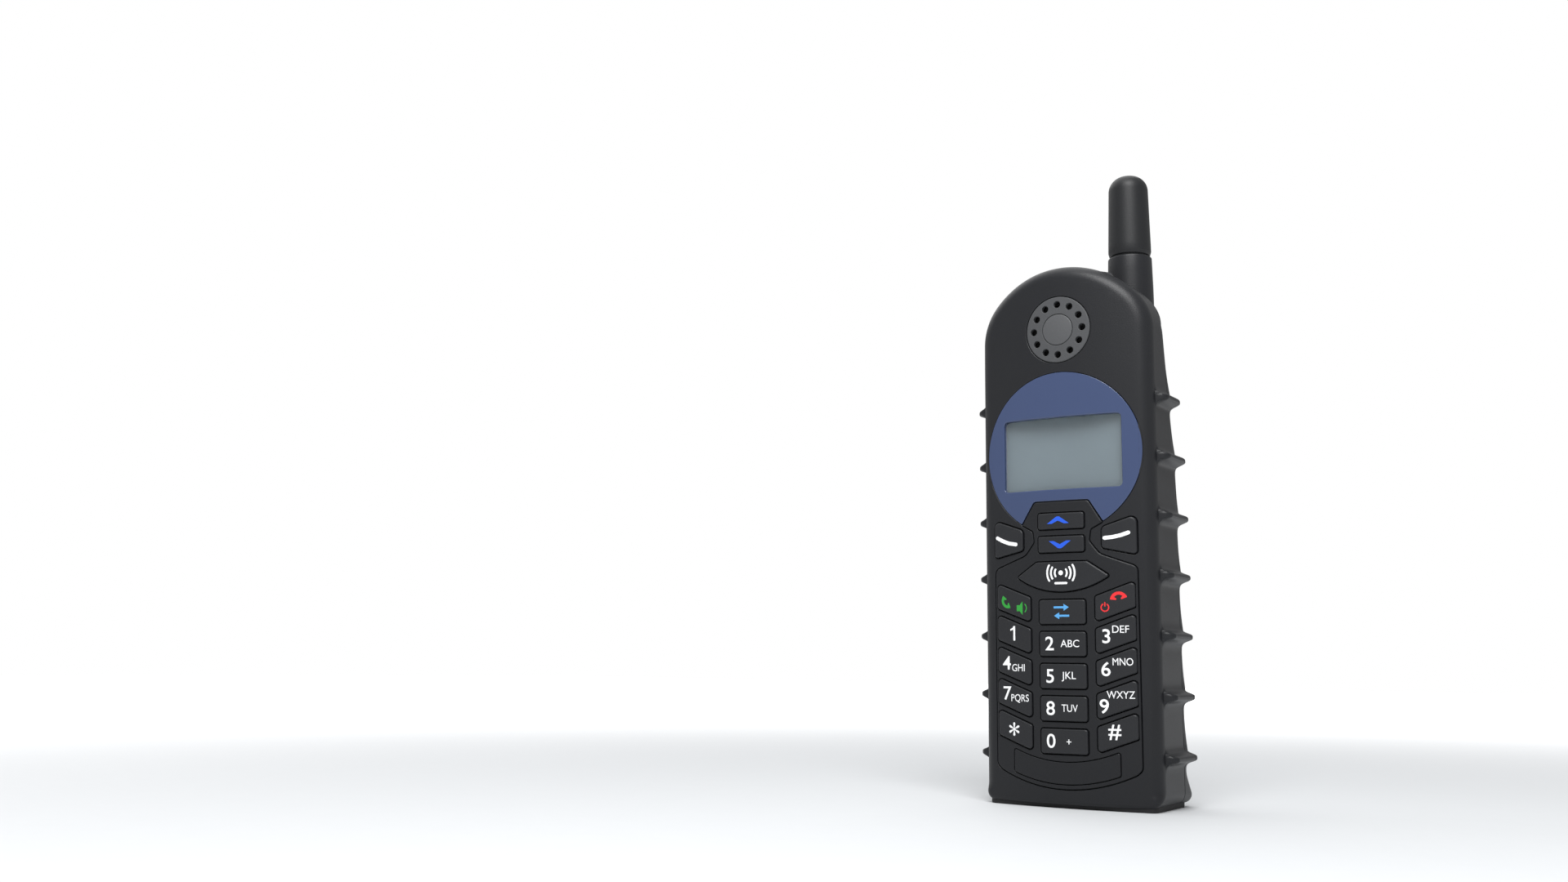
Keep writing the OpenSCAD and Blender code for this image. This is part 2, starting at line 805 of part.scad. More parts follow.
module antenna_socket() {
    color(STEEL) translate([ant_x, ant_y, 0]) difference() {
        union() {
            translate([0, 0, 152]) cylinder(r = 4, h = ant_seam - 152);
            translate([0, 0, 148]) cylinder(r = 2.6, h = 5);
        }
        translate([0, 0, 156]) cylinder(r = 2.06, h = 12);
    }
}

// ---- battery ----

module battery_cover() {
    color(CHARCOAL) on_back() difference() {
        union() {
            along_y(y_back - cover_t, y_back) translate([0, (cover_top + cover_bottom) / 2])
                round_rect(cover_w, cover_top - cover_bottom, 3);
            translate([-bay_w / 2 + 0.4, bay_floor + 0.9, bay_low + 0.4])
                cube([bay_w - 0.8, y_back - cover_t - bay_floor - 0.5, bay_high - bay_low - 0.8]);
        }
        translate([-bay_w / 2 + 1.5, bay_floor + 2, bay_low + 1.5])
            cube([bay_w - 3, y_back - cover_t - bay_floor - 1.6, bay_high - bay_low - 3]);
        for (side = [-1:1])
            translate([side * 10.1 - 1.6, bay_floor, 23]) cube([3.2, 3, 6.5]);
        rod_y(0, screw_z, 1.7, 10, 18);
        rod_y(0, screw_z, 3.6, y_back - 1, 18);
        for (i = [0:4])
            translate([-8, y_back - 0.6, 19 + i * 2.6]) cube([16, 2, 1.2]);
    }
}

module battery_cell() {
    color([0.25, 0.45, 0.3]) on_back() translate([-15.2, bay_floor + 2.3, 31.5])
        cube([30.4, y_back - cover_t - bay_floor - 2.2, 52.6]);
}

module battery_terminals() {
    color(GOLD) on_back() for (side = [-1:1])
        translate([side * 10.1 - 1.3, bay_floor + 1.1, 23.4]) cube([2.6, 0.8, 5.7]);
}

module battery_contacts() {
    color(GOLD) on_back() for (side = [-1:1])
        translate([side * 10.1 - 1, bay_floor - 2.8, 24.2]) cube([2, 3.4, 4.6]);
}

module cover_screw() {
    color(STEEL) on_back() difference() {
        union() {
            rod_y(0, screw_z, 3.4, y_back - 0.95, y_back);
            rod_y(0, screw_z, 1.5, 10.2, y_back - 0.5);
        }
        translate([-3, y_back - 0.5, screw_z - 0.5]) cube([6, 1, 1]);
    }
}

module charging_contacts() {
    color(GOLD) mirrored() translate([7, charge_y, 0]) {
        translate([0, 0, 0.3]) cylinder(r = 2, h = 3.5);
        translate([0, 0, foot_show + rear_wall + 0.05]) cylinder(r = 2.8, h = 0.8);
    }
}

front_shell();
rear_shell();
shell_gasket();
keypad_plate();
name_plate();
base_foot();
display_bezel();
display_window();
lcd_panel();
lcd_backlight();
lcd_frame();
earpiece_grille();
earpiece_cap();
earpiece_gasket();
earpiece_speaker();
nav_up_key();
nav_down_key();
soft_left_key();
soft_right_key();
broadcast_key();
talk_key();
intercom_key();
end_key();
key_1();
key_2();
key_3();
key_4();
key_5();
key_6();
key_7();
key_8();
key_9();
key_star();
key_0();
key_hash();
key_membrane();
dome_sheet();
main_board();
radio_shield();
logic_shield();
board_chips();
board_screws();
microphone();
microphone_boot();
loudspeaker();
loudspeaker_gasket();
motor_can();
motor_weight();
antenna_sleeve();
antenna_coil();
antenna_stud();
antenna_socket();
battery_cover();
battery_cell();
battery_terminals();
battery_contacts();
cover_screw();
charging_contacts();
shell_screws();
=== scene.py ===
"""Looks of the rugged radio handset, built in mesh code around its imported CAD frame."""

import math

import bmesh
import bpy
import numpy as np
from mathutils import Matrix, Vector
from mathutils.geometry import delaunay_2d_cdt


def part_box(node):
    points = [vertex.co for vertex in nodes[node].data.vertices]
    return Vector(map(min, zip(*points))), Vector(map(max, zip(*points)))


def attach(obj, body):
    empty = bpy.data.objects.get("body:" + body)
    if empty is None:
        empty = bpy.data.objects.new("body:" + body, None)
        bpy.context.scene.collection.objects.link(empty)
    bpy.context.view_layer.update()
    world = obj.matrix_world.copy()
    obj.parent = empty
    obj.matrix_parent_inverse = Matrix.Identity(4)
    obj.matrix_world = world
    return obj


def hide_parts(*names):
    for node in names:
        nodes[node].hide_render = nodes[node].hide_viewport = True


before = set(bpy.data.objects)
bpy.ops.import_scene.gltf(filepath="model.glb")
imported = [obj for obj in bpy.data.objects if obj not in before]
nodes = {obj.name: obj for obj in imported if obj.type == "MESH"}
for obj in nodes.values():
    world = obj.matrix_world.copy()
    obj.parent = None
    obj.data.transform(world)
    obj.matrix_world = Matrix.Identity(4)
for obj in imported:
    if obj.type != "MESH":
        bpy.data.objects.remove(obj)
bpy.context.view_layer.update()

# ---------------------------------------------------------------- measures, in millimetres


def box(node):
    low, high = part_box(node)
    return np.array(low) * 1000, np.array(high) * 1000


# housing: its box, the crowned face and the rounded outline
shell_low, shell_high = box("front_shell")
Y_FRONT = shell_low[1]
Y_BACK = -Y_FRONT
Z_LOW = shell_low[2]
Z_TOP = shell_high[2]
RIB_H = 3.44
HALF_W = shell_high[0] - RIB_H
CROWN_R = 101.6
TOP_R = 31.0
SHOULDER_R = 17.2
BOTTOM_R = 3.5
WALL = 2.0
TOP_C = Z_TOP - TOP_R
SHOULDER_X = HALF_W - SHOULDER_R
SHOULDER_C = TOP_C + math.sqrt((TOP_R - SHOULDER_R) ** 2 - SHOULDER_X ** 2)
SHOULDER_A = math.degrees(math.atan2(SHOULDER_C - TOP_C, SHOULDER_X))
# grip ribs
RIB_TOP = 118.6
RIB_PITCH = 17.35
RIBS = [RIB_TOP - k * RIB_PITCH for k in range(7)]
RIB_HALF = 1.3
RIB_TAIL = 13
# rise of the saddle beside the antenna
SADDLE_H = 2.4
# parting line: its depth below and above, and the heights where it sweeps
PART_LOW, PART_HIGH = 7.0, -0.8
PART_Z0, PART_Z1 = 87.4, 143.5
# the back leans forward, more above the knee, which is rounded over KNEE_SPAN
LEAN_LOW, LEAN_HIGH = math.radians(1.2), math.radians(10.5)
KNEE_Z = 97.0
KNEE_SPAN = 8
FRONT_R = 3.7
REAR_R = 9.0
FOOT_FRONT_R, FOOT_REAR_R = 1.2, 2.5
# earpiece, display and bezel
EAR = (box("earpiece_grille")[0] + box("earpiece_grille")[1]) / 2
EAR_R = (box("earpiece_grille")[1][0] - box("earpiece_grille")[0][0]) / 2
LCD_Z = (box("display_window")[0][2] + box("display_window")[1][2]) / 2
BEZEL_R = box("display_bezel")[1][0]
LCD_W, LCD_H, LCD_R = 37.1, 21.6, 1.2


def crown(x):
    """Depth of the crowned face at a distance from the middle."""
    return Y_FRONT + CROWN_R - np.sqrt(CROWN_R ** 2 - np.square(x))


def smooth(t):
    """An even rise from 0 to 1 while t goes from 0 to 1."""
    t = np.clip(t, 0, 1)
    return t * t * (3 - 2 * t)


def part_y(z):
    """Depth of the parting line: two arcs between the straight ends."""
    half, shift = (PART_Z1 - PART_Z0) / 2, (PART_LOW - PART_HIGH) / 2
    r = (half ** 2 + shift ** 2) / (2 * shift)
    if z <= PART_Z0:
        return PART_LOW
    if z >= PART_Z1:
        return PART_HIGH
    if z < PART_Z0 + half:
        return PART_LOW - r + math.sqrt(r * r - (z - PART_Z0) ** 2)
    return PART_HIGH + r - math.sqrt(r * r - (PART_Z1 - z) ** 2)


def back_y(z):
    """Depth of the back: it leans forward, and more so above the knee."""
    z = np.asarray(z, float)
    over = np.maximum(z - KNEE_Z + KNEE_SPAN / 2, 0)
    bend = np.where(over < KNEE_SPAN, over ** 2 / (2 * KNEE_SPAN), over - KNEE_SPAN / 2)
    return Y_BACK - z * math.tan(LEAN_LOW) - bend * (math.tan(LEAN_HIGH) - math.tan(LEAN_LOW))


def rib(y, z):
    """How far the side stands out at a depth and height: a blunt fin with a tail above it at the rear."""
    d = y - Y_FRONT
    behind = y - float(back_y(z)) + Y_BACK
    height = RIB_H * float(smooth((d - 5.2) / 4.4)) * (1 - float(smooth((behind - 10) / 5)))
    if height <= 0:
        return 0.0
    u = min(abs(z - centre) for centre in RIBS)
    above = min([z - centre for centre in RIBS if z >= centre], default=99)
    fin = (1 / (1 + (u / RIB_HALF) ** 4) - 0.01) / 0.99
    tail = 0.27 * max(0.0, 1 - above / RIB_TAIL) ** 2 * float(smooth((y - part_y(z)) / 2.5))
    return height * max(0.0, fin, tail)


def saddle(x, y):
    """Rise of the rear half's top beside the antenna."""
    across = float(smooth((x + 9) / 13)) * (1 - float(smooth((x - 14) / 4)))
    along = float(smooth((y - PART_HIGH - 0.2) / 1.8)) * (1 - float(smooth((y - 3) / 5)))
    return SADDLE_H * across * along


# ---------------------------------------------------------------- plane figures


def arc(cx, cz, r, a0, a1, n):
    """n + 1 points of an arc, angles in degrees."""
    a = np.radians(np.linspace(a0, a1, n + 1))
    return np.column_stack([cx + r * np.cos(a), cz + r * np.sin(a)])


def fillet(points, radii, n=6):
    """A closed polygon with its corners rounded; radii is one number or one per corner."""
    points = np.array(points, float)
    m = len(points)
    radii = [radii] * m if np.isscalar(radii) else radii
    out = []
    for i in range(m):
        p, a, b = points[i], points[i - 1], points[(i + 1) % m]
        da, db = a - p, b - p
        la, lb = np.linalg.norm(da), np.linalg.norm(db)
        da, db = da / la, db / lb
        angle = math.acos(max(-1, min(1, float(da @ db))))
        if radii[i] <= 0 or angle > math.radians(177):
            out.append(p)
            continue
        t = min(radii[i] / math.tan(angle / 2), 0.49 * la, 0.49 * lb)
        r = t * math.tan(angle / 2)
        centre = p + (da + db) / np.linalg.norm(da + db) * r / math.sin(angle / 2)
        s, e = p + da * t - centre, p + db * t - centre
        a0, a1 = math.atan2(s[1], s[0]), math.atan2(e[1], e[0])
        while a1 - a0 > math.pi:
            a1 -= 2 * math.pi
        while a1 - a0 < -math.pi:
            a1 += 2 * math.pi
        k = max(2, int(n * abs(a1 - a0) / (math.pi / 2)) + 1)
        for j in range(k + 1):
            q = a0 + (a1 - a0) * j / k
            out.append(centre + r * np.array([math.cos(q), math.sin(q)]))
    return np.array(out)


def circle(cx, cz, r, n=96):
    return arc(cx, cz, r, 0, 360, n)[:-1]


def round_rect(cx, cz, w, h, r):
    x0, x1 = cx - w / 2, cx + w / 2
    z0, z1 = cz - h / 2, cz + h / 2
    return fillet([(x0, z0), (x1, z0), (x1, z1), (x0, z1)], r)


def smile_arc(low, r, x0, x1, n):
    """A shallow arc with its lowest point in the middle of the face."""
    x = np.linspace(x0, x1, n)
    return np.column_stack([x, low + r - np.sqrt(r * r - x * x)])


def area(loop):
    x, z = loop[:, 0], loop[:, 1]
    return 0.5 * float(np.sum(x * np.roll(z, -1) - np.roll(x, -1) * z))


def ccw(loop):
    """The loop turned to run counter-clockwise."""
    return loop if area(loop) > 0 else loop[::-1]


def dense(loop, step):
    """The same loop with no edge longer than step and no doubled point."""
    out = []
    for i in range(len(loop)):
        p, q = loop[i], loop[(i + 1) % len(loop)]
        length = np.linalg.norm(q - p)
        if length < 1e-5:
            continue
        k = max(1, int(math.ceil(length / step)))
        out.extend(p + (q - p) * j / k for j in range(k))
    return np.array(out)


def offset(loop, d):
    """A counter-clockwise loop moved out by d, or in where d is negative."""
    e = np.roll(loop, -1, 0) - loop
    e /= np.linalg.norm(e, axis=1)[:, None]
    n = np.column_stack([e[:, 1], -e[:, 0]])
    m = n + np.roll(n, 1, 0)
    m /= np.linalg.norm(m, axis=1)[:, None]
    c = np.clip(np.sum(m * n, axis=1), 0.6, 1)
    return loop + m / c[:, None] * d


def inside(points, loop):
    """Which of the points lie inside the loop."""
    x, z = points[:, 0][:, None], points[:, 1][:, None]
    x0, z0 = loop[:, 0][None], loop[:, 1][None]
    x1, z1 = np.roll(loop[:, 0], -1)[None], np.roll(loop[:, 1], -1)[None]
    cross = (z0 > z) != (z1 > z)
    with np.errstate(divide="ignore", invalid="ignore"):
        at = (x1 - x0) * (z - z0) / (z1 - z0) + x0
    return (np.sum(cross & (x < at), axis=1) % 2) == 1


def fill(outer, holes, grid):
    """Triangles of a plane figure with holes, with a grid of points inside it."""
    loops = [outer] + list(holes)
    points, edges = [], []
    for loop in loops:
        base = len(points)
        points.extend(loop.tolist())
        edges.extend((base + i, base + (i + 1) % len(loop)) for i in range(len(loop)))
    edge_points = np.array(points)
    low, high = outer.min(0), outer.max(0)
    xs = np.arange(math.floor(low[0] / grid) * grid, high[0] + grid, grid)
    zs = np.arange(low[1] + grid / 2, high[1], grid)
    g = np.array([(x + (0.5 * grid if k % 2 else 0), z) for k, z in enumerate(zs) for x in xs])
    if len(g):
        keep = inside(g, outer)
        for h in holes:
            keep &= ~inside(g, h)
        g = g[keep]
        if len(g):
            far = np.array([np.min(np.sum((edge_points - p) ** 2, axis=1)) for p in g])
            g = g[far > (0.45 * grid) ** 2]
            points.extend(g.tolist())
    made = delaunay_2d_cdt([Vector(p) for p in points], edges, [], 0, 1e-6)
    v = np.array([[p[0], p[1]] for p in made[0]])
    f = np.array(made[2])
    c = v[f].mean(axis=1)
    keep = inside(c, outer)
    for h in holes:
        keep &= ~inside(c, h)
    return v, f[keep]


# ---------------------------------------------------------------- meshes


class Solid:
    """Collects vertices and faces in millimetres and makes one mesh of them, in metres."""

    def __init__(self):
        self.v, self.f = [], []

    def add(self, verts, faces):
        base = len(self.v)
        self.v.extend([tuple(map(float, p)) for p in verts])
        self.f.extend([tuple(base + int(i) for i in f) for f in faces])

    def cap(self, outer, holes, place, grid=1.6, flip=False):
        v, f = fill(outer, holes, grid)
        faces = [tuple(t[::-1]) if flip else tuple(t) for t in f]
        self.add(place(v), faces)

    def rings(self, rings):
        n = len(rings[0])
        verts = np.concatenate(rings)
        faces = []
        for r in range(len(rings) - 1):
            for i in range(n):
                j = (i + 1) % n
                faces.append((r * n + i, r * n + j, (r + 1) * n + j, (r + 1) * n + i))
        self.add(verts, faces)

    def make(self, name, material, body, slot, replaces=(), angle=38, merge=0.002):
        bm = bmesh.new()
        vs = [bm.verts.new(p) for p in self.v]
        for f in self.f:
            if len(set(f)) > 2:
                try:
                    bm.faces.new([vs[i] for i in f])
                except ValueError:
                    pass
        bmesh.ops.remove_doubles(bm, verts=bm.verts, dist=merge)
        bmesh.ops.dissolve_degenerate(bm, edges=bm.edges, dist=merge / 4)
        bmesh.ops.recalc_face_normals(bm, faces=bm.faces)
        bmesh.ops.scale(bm, vec=(0.001, 0.001, 0.001), verts=bm.verts)
        mesh = bpy.data.meshes.new(name)
        bm.to_mesh(mesh)
        bm.free()
        return dress(name, mesh, material, body, replaces, angle)


def dress(name, mesh, material, body, replaces=(), angle=38):
    """Makes a piece of a mesh, with its material, hangs it under the empty of its body and hides the CAD
    nodes it replaces.
    """
    for p in mesh.polygons:
        p.use_smooth = True
    mesh.set_sharp_from_angle(angle=math.radians(angle))
    mesh.materials.append(material)
    obj = bpy.data.objects.new(name, mesh)
    bpy.context.scene.collection.objects.link(obj)
    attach(obj, body)
    if replaces:
        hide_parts(*replaces)
    return obj


def on_crown(deep=0.0):
    """Lays plane points on the crowned face, or deep below it."""
    return lambda p: np.column_stack([p[:, 0], crown(p[:, 0]) + deep, p[:, 1]])


def flat(y):
    """Lays plane points upright at one depth."""
    return lambda p: np.column_stack([p[:, 0], np.full(len(p), float(y)), p[:, 1]])


# distance from a rounded edge to the ring that keeps the flat beside it flat
SUPPORT = 0.12


def edge_profile(r, n=4, deep=2.0):
    """Pairs of inset and depth from just inside the cap, round the edge and down the wall."""
    out = [(r + SUPPORT, 0.0)]
    for k in range(n + 1):
        a = math.pi / 2 * k / n
        out.append((r * (1 - math.sin(a)), r * (1 - math.cos(a))))
    out.append((0.0, r + SUPPORT))
    out.append((0.0, deep))
    return out


def plate(outer, holes=(), rise=0.0, edge=0.35, hole_edge=0.35, deep=2.0, grid=1.6):
    """A closed plate on the crowned face with rounded edges on its outline and in its holes."""
    s = Solid()
    profile = edge_profile(edge, deep=deep)
    hole_profile = edge_profile(hole_edge, n=3, deep=deep)
    outer = ccw(outer)
    holes = [ccw(h) for h in holes]
    cap_holes = [offset(h, hole_profile[0][0]) for h in holes]
    s.cap(offset(outer, -profile[0][0]), cap_holes, on_crown(-rise), grid)
    s.rings([on_crown(d - rise)(offset(outer, -i)) for i, d in profile])
    for h in holes:
        s.rings([on_crown(d - rise)(offset(h, i)) for i, d in hole_profile])
    s.cap(outer, holes, on_crown(deep - rise), grid, True)
    return s


def lathe(profile, cx, cy, n=96):
    """Rings about a vertical axis from pairs of radius and height."""
    s = Solid()
    a = np.linspace(0, 2 * math.pi, n, endpoint=False)
    rings = [np.column_stack([cx + r * np.cos(a), cy + r * np.sin(a), np.full(n, z)]) for r, z in profile]
    s.rings(rings)
    return s


# ---------------------------------------------------------------- materials


def rgb(r, g, b):
    """sRGB bytes to linear."""
    def lin(c):
        c /= 255
        return c / 12.92 if c <= 0.04045 else ((c + 0.055) / 1.055) ** 2.4
    return (lin(r), lin(g), lin(b), 1.0)


def material(name, colour, roughness, specular=0.5, metallic=0.0, grain=2600.0, bump=0.05, mottle=0.06,
             rough_vary=0.05, coat=0.0, coat_rough=0.1, wear=0.0, alpha=1.0, brushed=None):
    """Moulded or metal surface: grain, slight drift of tone and roughness and, where asked, rubbed edges."""
    m = bpy.data.materials.new(name)
    m.use_nodes = True
    t = m.node_tree
    b = t.nodes["Principled BSDF"]
    new = t.nodes.new
    link = t.links.new
    b.inputs["Metallic"].default_value = metallic
    b.inputs["Specular IOR Level"].default_value = specular
    b.inputs["Coat Weight"].default_value = coat
    b.inputs["Coat Roughness"].default_value = coat_rough
    b.inputs["Alpha"].default_value = alpha
    where = new("ShaderNodeTexCoord").outputs["Object"]
    if brushed is not None:
        mapping = new("ShaderNodeMapping")
        mapping.inputs["Scale"].default_value = brushed
        link(where, mapping.inputs["Vector"])
        where_grain = mapping.outputs["Vector"]
    else:
        where_grain = where
    drift = new("ShaderNodeTexNoise")
    drift.inputs["Scale"].default_value = 90
    drift.inputs["Detail"].default_value = 3
    link(where, drift.inputs["Vector"])
    fine = new("ShaderNodeTexNoise")
    fine.inputs["Scale"].default_value = grain
    fine.inputs["Detail"].default_value = 2
    fine.inputs["Roughness"].default_value = 0.6
    link(where_grain, fine.inputs["Vector"])
    ramp = new("ShaderNodeMix")
    ramp.data_type = "RGBA"
    dark = [c * (1 - mottle) for c in colour[:3]] + [1]
    light = [min(1, c * (1 + mottle)) for c in colour[:3]] + [1]
    ramp.inputs[6].default_value = dark
    ramp.inputs[7].default_value = light
    link(drift.outputs["Fac"], ramp.inputs[0])
    tone = ramp.outputs[2]
    if wear:
        geo = new("ShaderNodeNewGeometry")
        edge = new("ShaderNodeMapRange")
        edge.inputs[1].default_value = 0.53
        edge.inputs[2].default_value = 0.62
        link(geo.outputs["Pointiness"], edge.inputs[0])
        patch = new("ShaderNodeMath")
        patch.operation = "MULTIPLY"
        link(edge.outputs[0], patch.inputs[0])
        link(drift.outputs["Fac"], patch.inputs[1])
        amount = new("ShaderNodeMath")
        amount.operation = "MULTIPLY"
        amount.inputs[1].default_value = wear
        link(patch.outputs[0], amount.inputs[0])
        rubbed = new("ShaderNodeMix")
        rubbed.data_type = "RGBA"
        rubbed.inputs[7].default_value = [min(1, c * 1.9 + 0.01) for c in colour[:3]] + [1]
        link(amount.outputs[0], rubbed.inputs[0])
        link(tone, rubbed.inputs[6])
        tone = rubbed.outputs[2]
    link(tone, b.inputs["Base Color"])
    rough = new("ShaderNodeMapRange")
    rough.inputs[3].default_value = roughness - rough_vary
    rough.inputs[4].default_value = roughness + rough_vary
    link(fine.outputs["Fac"], rough.inputs[0])
    link(rough.outputs[0], b.inputs["Roughness"])
    if bump:
        bp = new("ShaderNodeBump")
        bp.inputs["Strength"].default_value = bump
        bp.inputs["Distance"].default_value = 0.0001
        link(fine.outputs["Fac"], bp.inputs["Height"])
        link(bp.outputs["Normal"], b.inputs["Normal"])
    return m


BODY = material("body_plastic", rgb(28, 29, 32), 0.42, specular=0.3, wear=0.3, bump=0.22, grain=2800)
PLATE = material("plate_plastic", rgb(27, 28, 31), 0.42, specular=0.3, wear=0.3, bump=0.2, grain=2800)
KEY = material("key_plastic", rgb(32, 33, 36), 0.42, specular=0.35, wear=0.4, bump=0.3, grain=2400)
GRILLE = material("grille_plastic", rgb(70, 71, 73), 0.55, specular=0.3, wear=0.2, bump=0.35, grain=2200)
CAP = material("cap_plastic", rgb(76, 77, 79), 0.45, specular=0.4, bump=0.4, grain=1500)
BEZEL = material("bezel_blue", rgb(58, 71, 104), 0.16, specular=0.4, bump=0.02, mottle=0.03, coat=0.4,
                 coat_rough=0.05, rough_vary=0.02)
LCD = material("lcd_cell", rgb(131, 147, 155), 0.35, bump=0.0, mottle=0.01, rough_vary=0.0, grain=4000)
CLEAR = material("clear_window", rgb(235, 240, 242), 0.06, bump=0.0, mottle=0.01, rough_vary=0.01,
                 alpha=0.06)
ANT = material("antenna_rubber", rgb(26, 27, 29), 0.46, specular=0.3, bump=0.3, grain=2600, wear=0.15)
FOOT = material("foot_rubber", rgb(20, 20, 22), 0.7, bump=0.4, grain=1800)
RUBBER = material("seal_rubber", rgb(22, 22, 23), 0.7, bump=0.4, grain=1800)
STEEL = material("bright_steel", rgb(176, 178, 180), 0.32, metallic=1.0, bump=0.15, grain=900,
                 brushed=(1, 1, 12))
GOLD = material("gold_plating", rgb(214, 172, 92), 0.25, metallic=1.0, bump=0.1, grain=1500)
BOARD = material("solder_mask", rgb(22, 74, 42), 0.3, bump=0.1, grain=800)
CHIP = material("chip_epoxy", rgb(34, 34, 36), 0.6, bump=0.3)
SHEET = material("silicone_sheet", rgb(120, 121, 123), 0.6, bump=0.3)
FRAME = material("inner_frame", rgb(96, 97, 98), 0.5, bump=0.3)
DIFFUSER = material("diffuser", rgb(228, 230, 226), 0.4, bump=0.05)
DRIVER = material("driver_black", rgb(26, 26, 28), 0.5, bump=0.4, grain=1200)
WRAP = material("cell_wrap", rgb(58, 92, 66), 0.35, bump=0.1, grain=700)
WHITE = material("print_white", rgb(244, 245, 246), 0.4, bump=0.05, mottle=0.02)
GREEN = material("print_green", rgb(40, 150, 52), 0.4, bump=0.05, mottle=0.02)
RED = material("print_red", rgb(225, 40, 45), 0.4, bump=0.05, mottle=0.02)
SKY = material("print_sky", rgb(84, 160, 220), 0.4, bump=0.05, mottle=0.02)
BLUE = material("print_blue", rgb(28, 86, 212), 0.4, bump=0.05, mottle=0.02)

# CAD nodes that keep their shape and get a material here
CARRIED = dict(
    shell_gasket=RUBBER, display_window=CLEAR, lcd_panel=LCD, lcd_backlight=DIFFUSER, lcd_frame=FRAME,
    earpiece_gasket=RUBBER, earpiece_speaker=DRIVER, key_membrane=SHEET, dome_sheet=GOLD,
    main_board=BOARD, radio_shield=STEEL, logic_shield=STEEL, board_chips=CHIP, board_screws=STEEL,
    microphone=STEEL, microphone_boot=RUBBER, loudspeaker=DRIVER, loudspeaker_gasket=RUBBER,
    motor_can=STEEL, motor_weight=STEEL, antenna_coil=GOLD, antenna_stud=GOLD, antenna_socket=GOLD,
    battery_cell=WRAP, battery_terminals=GOLD, battery_contacts=GOLD, cover_screw=STEEL,
    charging_contacts=GOLD, shell_screws=STEEL)
for name, mat in CARRIED.items():
    for s in nodes[name].material_slots:
        s.material = mat

# ---------------------------------------------------------------- camera, floor and light

cam = bpy.data.objects.new("camera", bpy.data.cameras.new("camera"))
bpy.context.scene.collection.objects.link(cam)
bpy.context.scene.camera = cam
CAM_PLACE = (0.16774, -0.41454, 0.04008)
CAM_YAW, CAM_PITCH, CAM_ROLL = 33.759, 8.780, 0.653
cam.data.sensor_width = 36
cam.data.lens = 33.153
cam.data.clip_start, cam.data.clip_end = 0.01, 50
yaw, pitch, roll = math.radians(CAM_YAW), math.radians(CAM_PITCH), math.radians(CAM_ROLL)
forward = Vector((-math.sin(yaw) * math.cos(pitch), math.cos(yaw) * math.cos(pitch), math.sin(pitch)))
right0 = Vector((math.cos(yaw), math.sin(yaw), 0))
up0 = right0.cross(forward)
right = right0 * math.cos(roll) + up0 * math.sin(roll)
up = up0 * math.cos(roll) - right0 * math.sin(roll)
cam.matrix_world = Matrix((
    (right.x, up.x, -forward.x, CAM_PLACE[0]),
    (right.y, up.y, -forward.y, CAM_PLACE[1]),
    (right.z, up.z, -forward.z, CAM_PLACE[2]),
    (0, 0, 0, 1)))

scene = bpy.context.scene
scene.view_settings.view_transform = "Standard"
scene.view_settings.look = "None"


# half width of the floor, and the distances over which its painted glow rises from none to full, in metres
FLOOR = 2.6
FADE_START, FADE_END = 0.1, 1.1


def floor_paper_painted_light():
    """Pale paper with painted light: it glows white, more the further it lies from the handset, and so fades
    into the white ground.
    """
    m = material("floor_paper_painted_light", (0.6, 0.615, 0.63, 1), 0.6, specular=0.1, bump=0.02, grain=300, mottle=0.01)
    t = m.node_tree
    away = t.nodes.new("ShaderNodeVectorMath")
    away.operation = "LENGTH"
    t.links.new(t.nodes.new("ShaderNodeTexCoord").outputs["Object"], away.inputs[0])
    painted_glow = t.nodes.new("ShaderNodeMapRange")
    painted_glow.interpolation_type = "SMOOTHSTEP"
    painted_glow.inputs[1].default_value = FADE_START
    painted_glow.inputs[2].default_value = FADE_END
    painted_glow.inputs[3].default_value = 0.0
    painted_glow.inputs[4].default_value = 1.0
    t.links.new(away.outputs["Value"], painted_glow.inputs[0])
    # painted light: the grey paper emits white light that rises with distance from the handset, so the floor
    # is painted darker near the handset and glowing white further out
    shader = t.nodes["Principled BSDF"]
    shader.inputs["Emission Color"].default_value = (1, 1, 1, 1)
    t.links.new(painted_glow.outputs[0], shader.inputs["Emission Strength"])
    return m


def floor():
    """A wide, flat, pale table top."""
    bm = bmesh.new()
    signs = ((-1, -1), (1, -1), (1, 1), (-1, 1))
    bm.faces.new([bm.verts.new((x * FLOOR, y * FLOOR, 0)) for x, y in signs])
    mesh = bpy.data.meshes.new("floor")
    bm.to_mesh(mesh)
    bm.free()
    mesh.materials.append(floor_paper_painted_light())
    obj = bpy.data.objects.new("floor", mesh)
    scene.collection.objects.link(obj)


floor()

# white behind the handset, dimmer as a light
WORLD_SEEN, WORLD_LIGHT = 1.0, 0.42


def studio():
    world = bpy.data.worlds.new("studio")
    world.use_nodes = True
    t = world.node_tree
    seen = t.nodes.new("ShaderNodeLightPath").outputs["Is Camera Ray"]
    level = t.nodes.new("ShaderNodeMapRange")
    level.inputs[3].default_value = WORLD_LIGHT
    level.inputs[4].default_value = WORLD_SEEN
    t.links.new(seen, level.inputs[0])
    background = t.nodes["Background"]
    background.inputs[0].default_value = (1, 1, 1, 1)
    t.links.new(level.outputs[0], background.inputs[1])
    scene.world = world


studio()


def softbox(name, place, size, energy, target):
    """A square area light aimed at a target, in metres and watts."""
    data = bpy.data.lights.new(name, "AREA")
    data.shape = "RECTANGLE"
    data.size = size
    data.size_y = size
    data.energy = energy
    obj = bpy.data.objects.new(name, data)
    obj.location = place
    obj.rotation_mode = "QUATERNION"
    obj.rotation_quaternion = (Vector(target) - Vector(place)).to_track_quat("-Z", "Y")
    scene.collection.objects.link(obj)


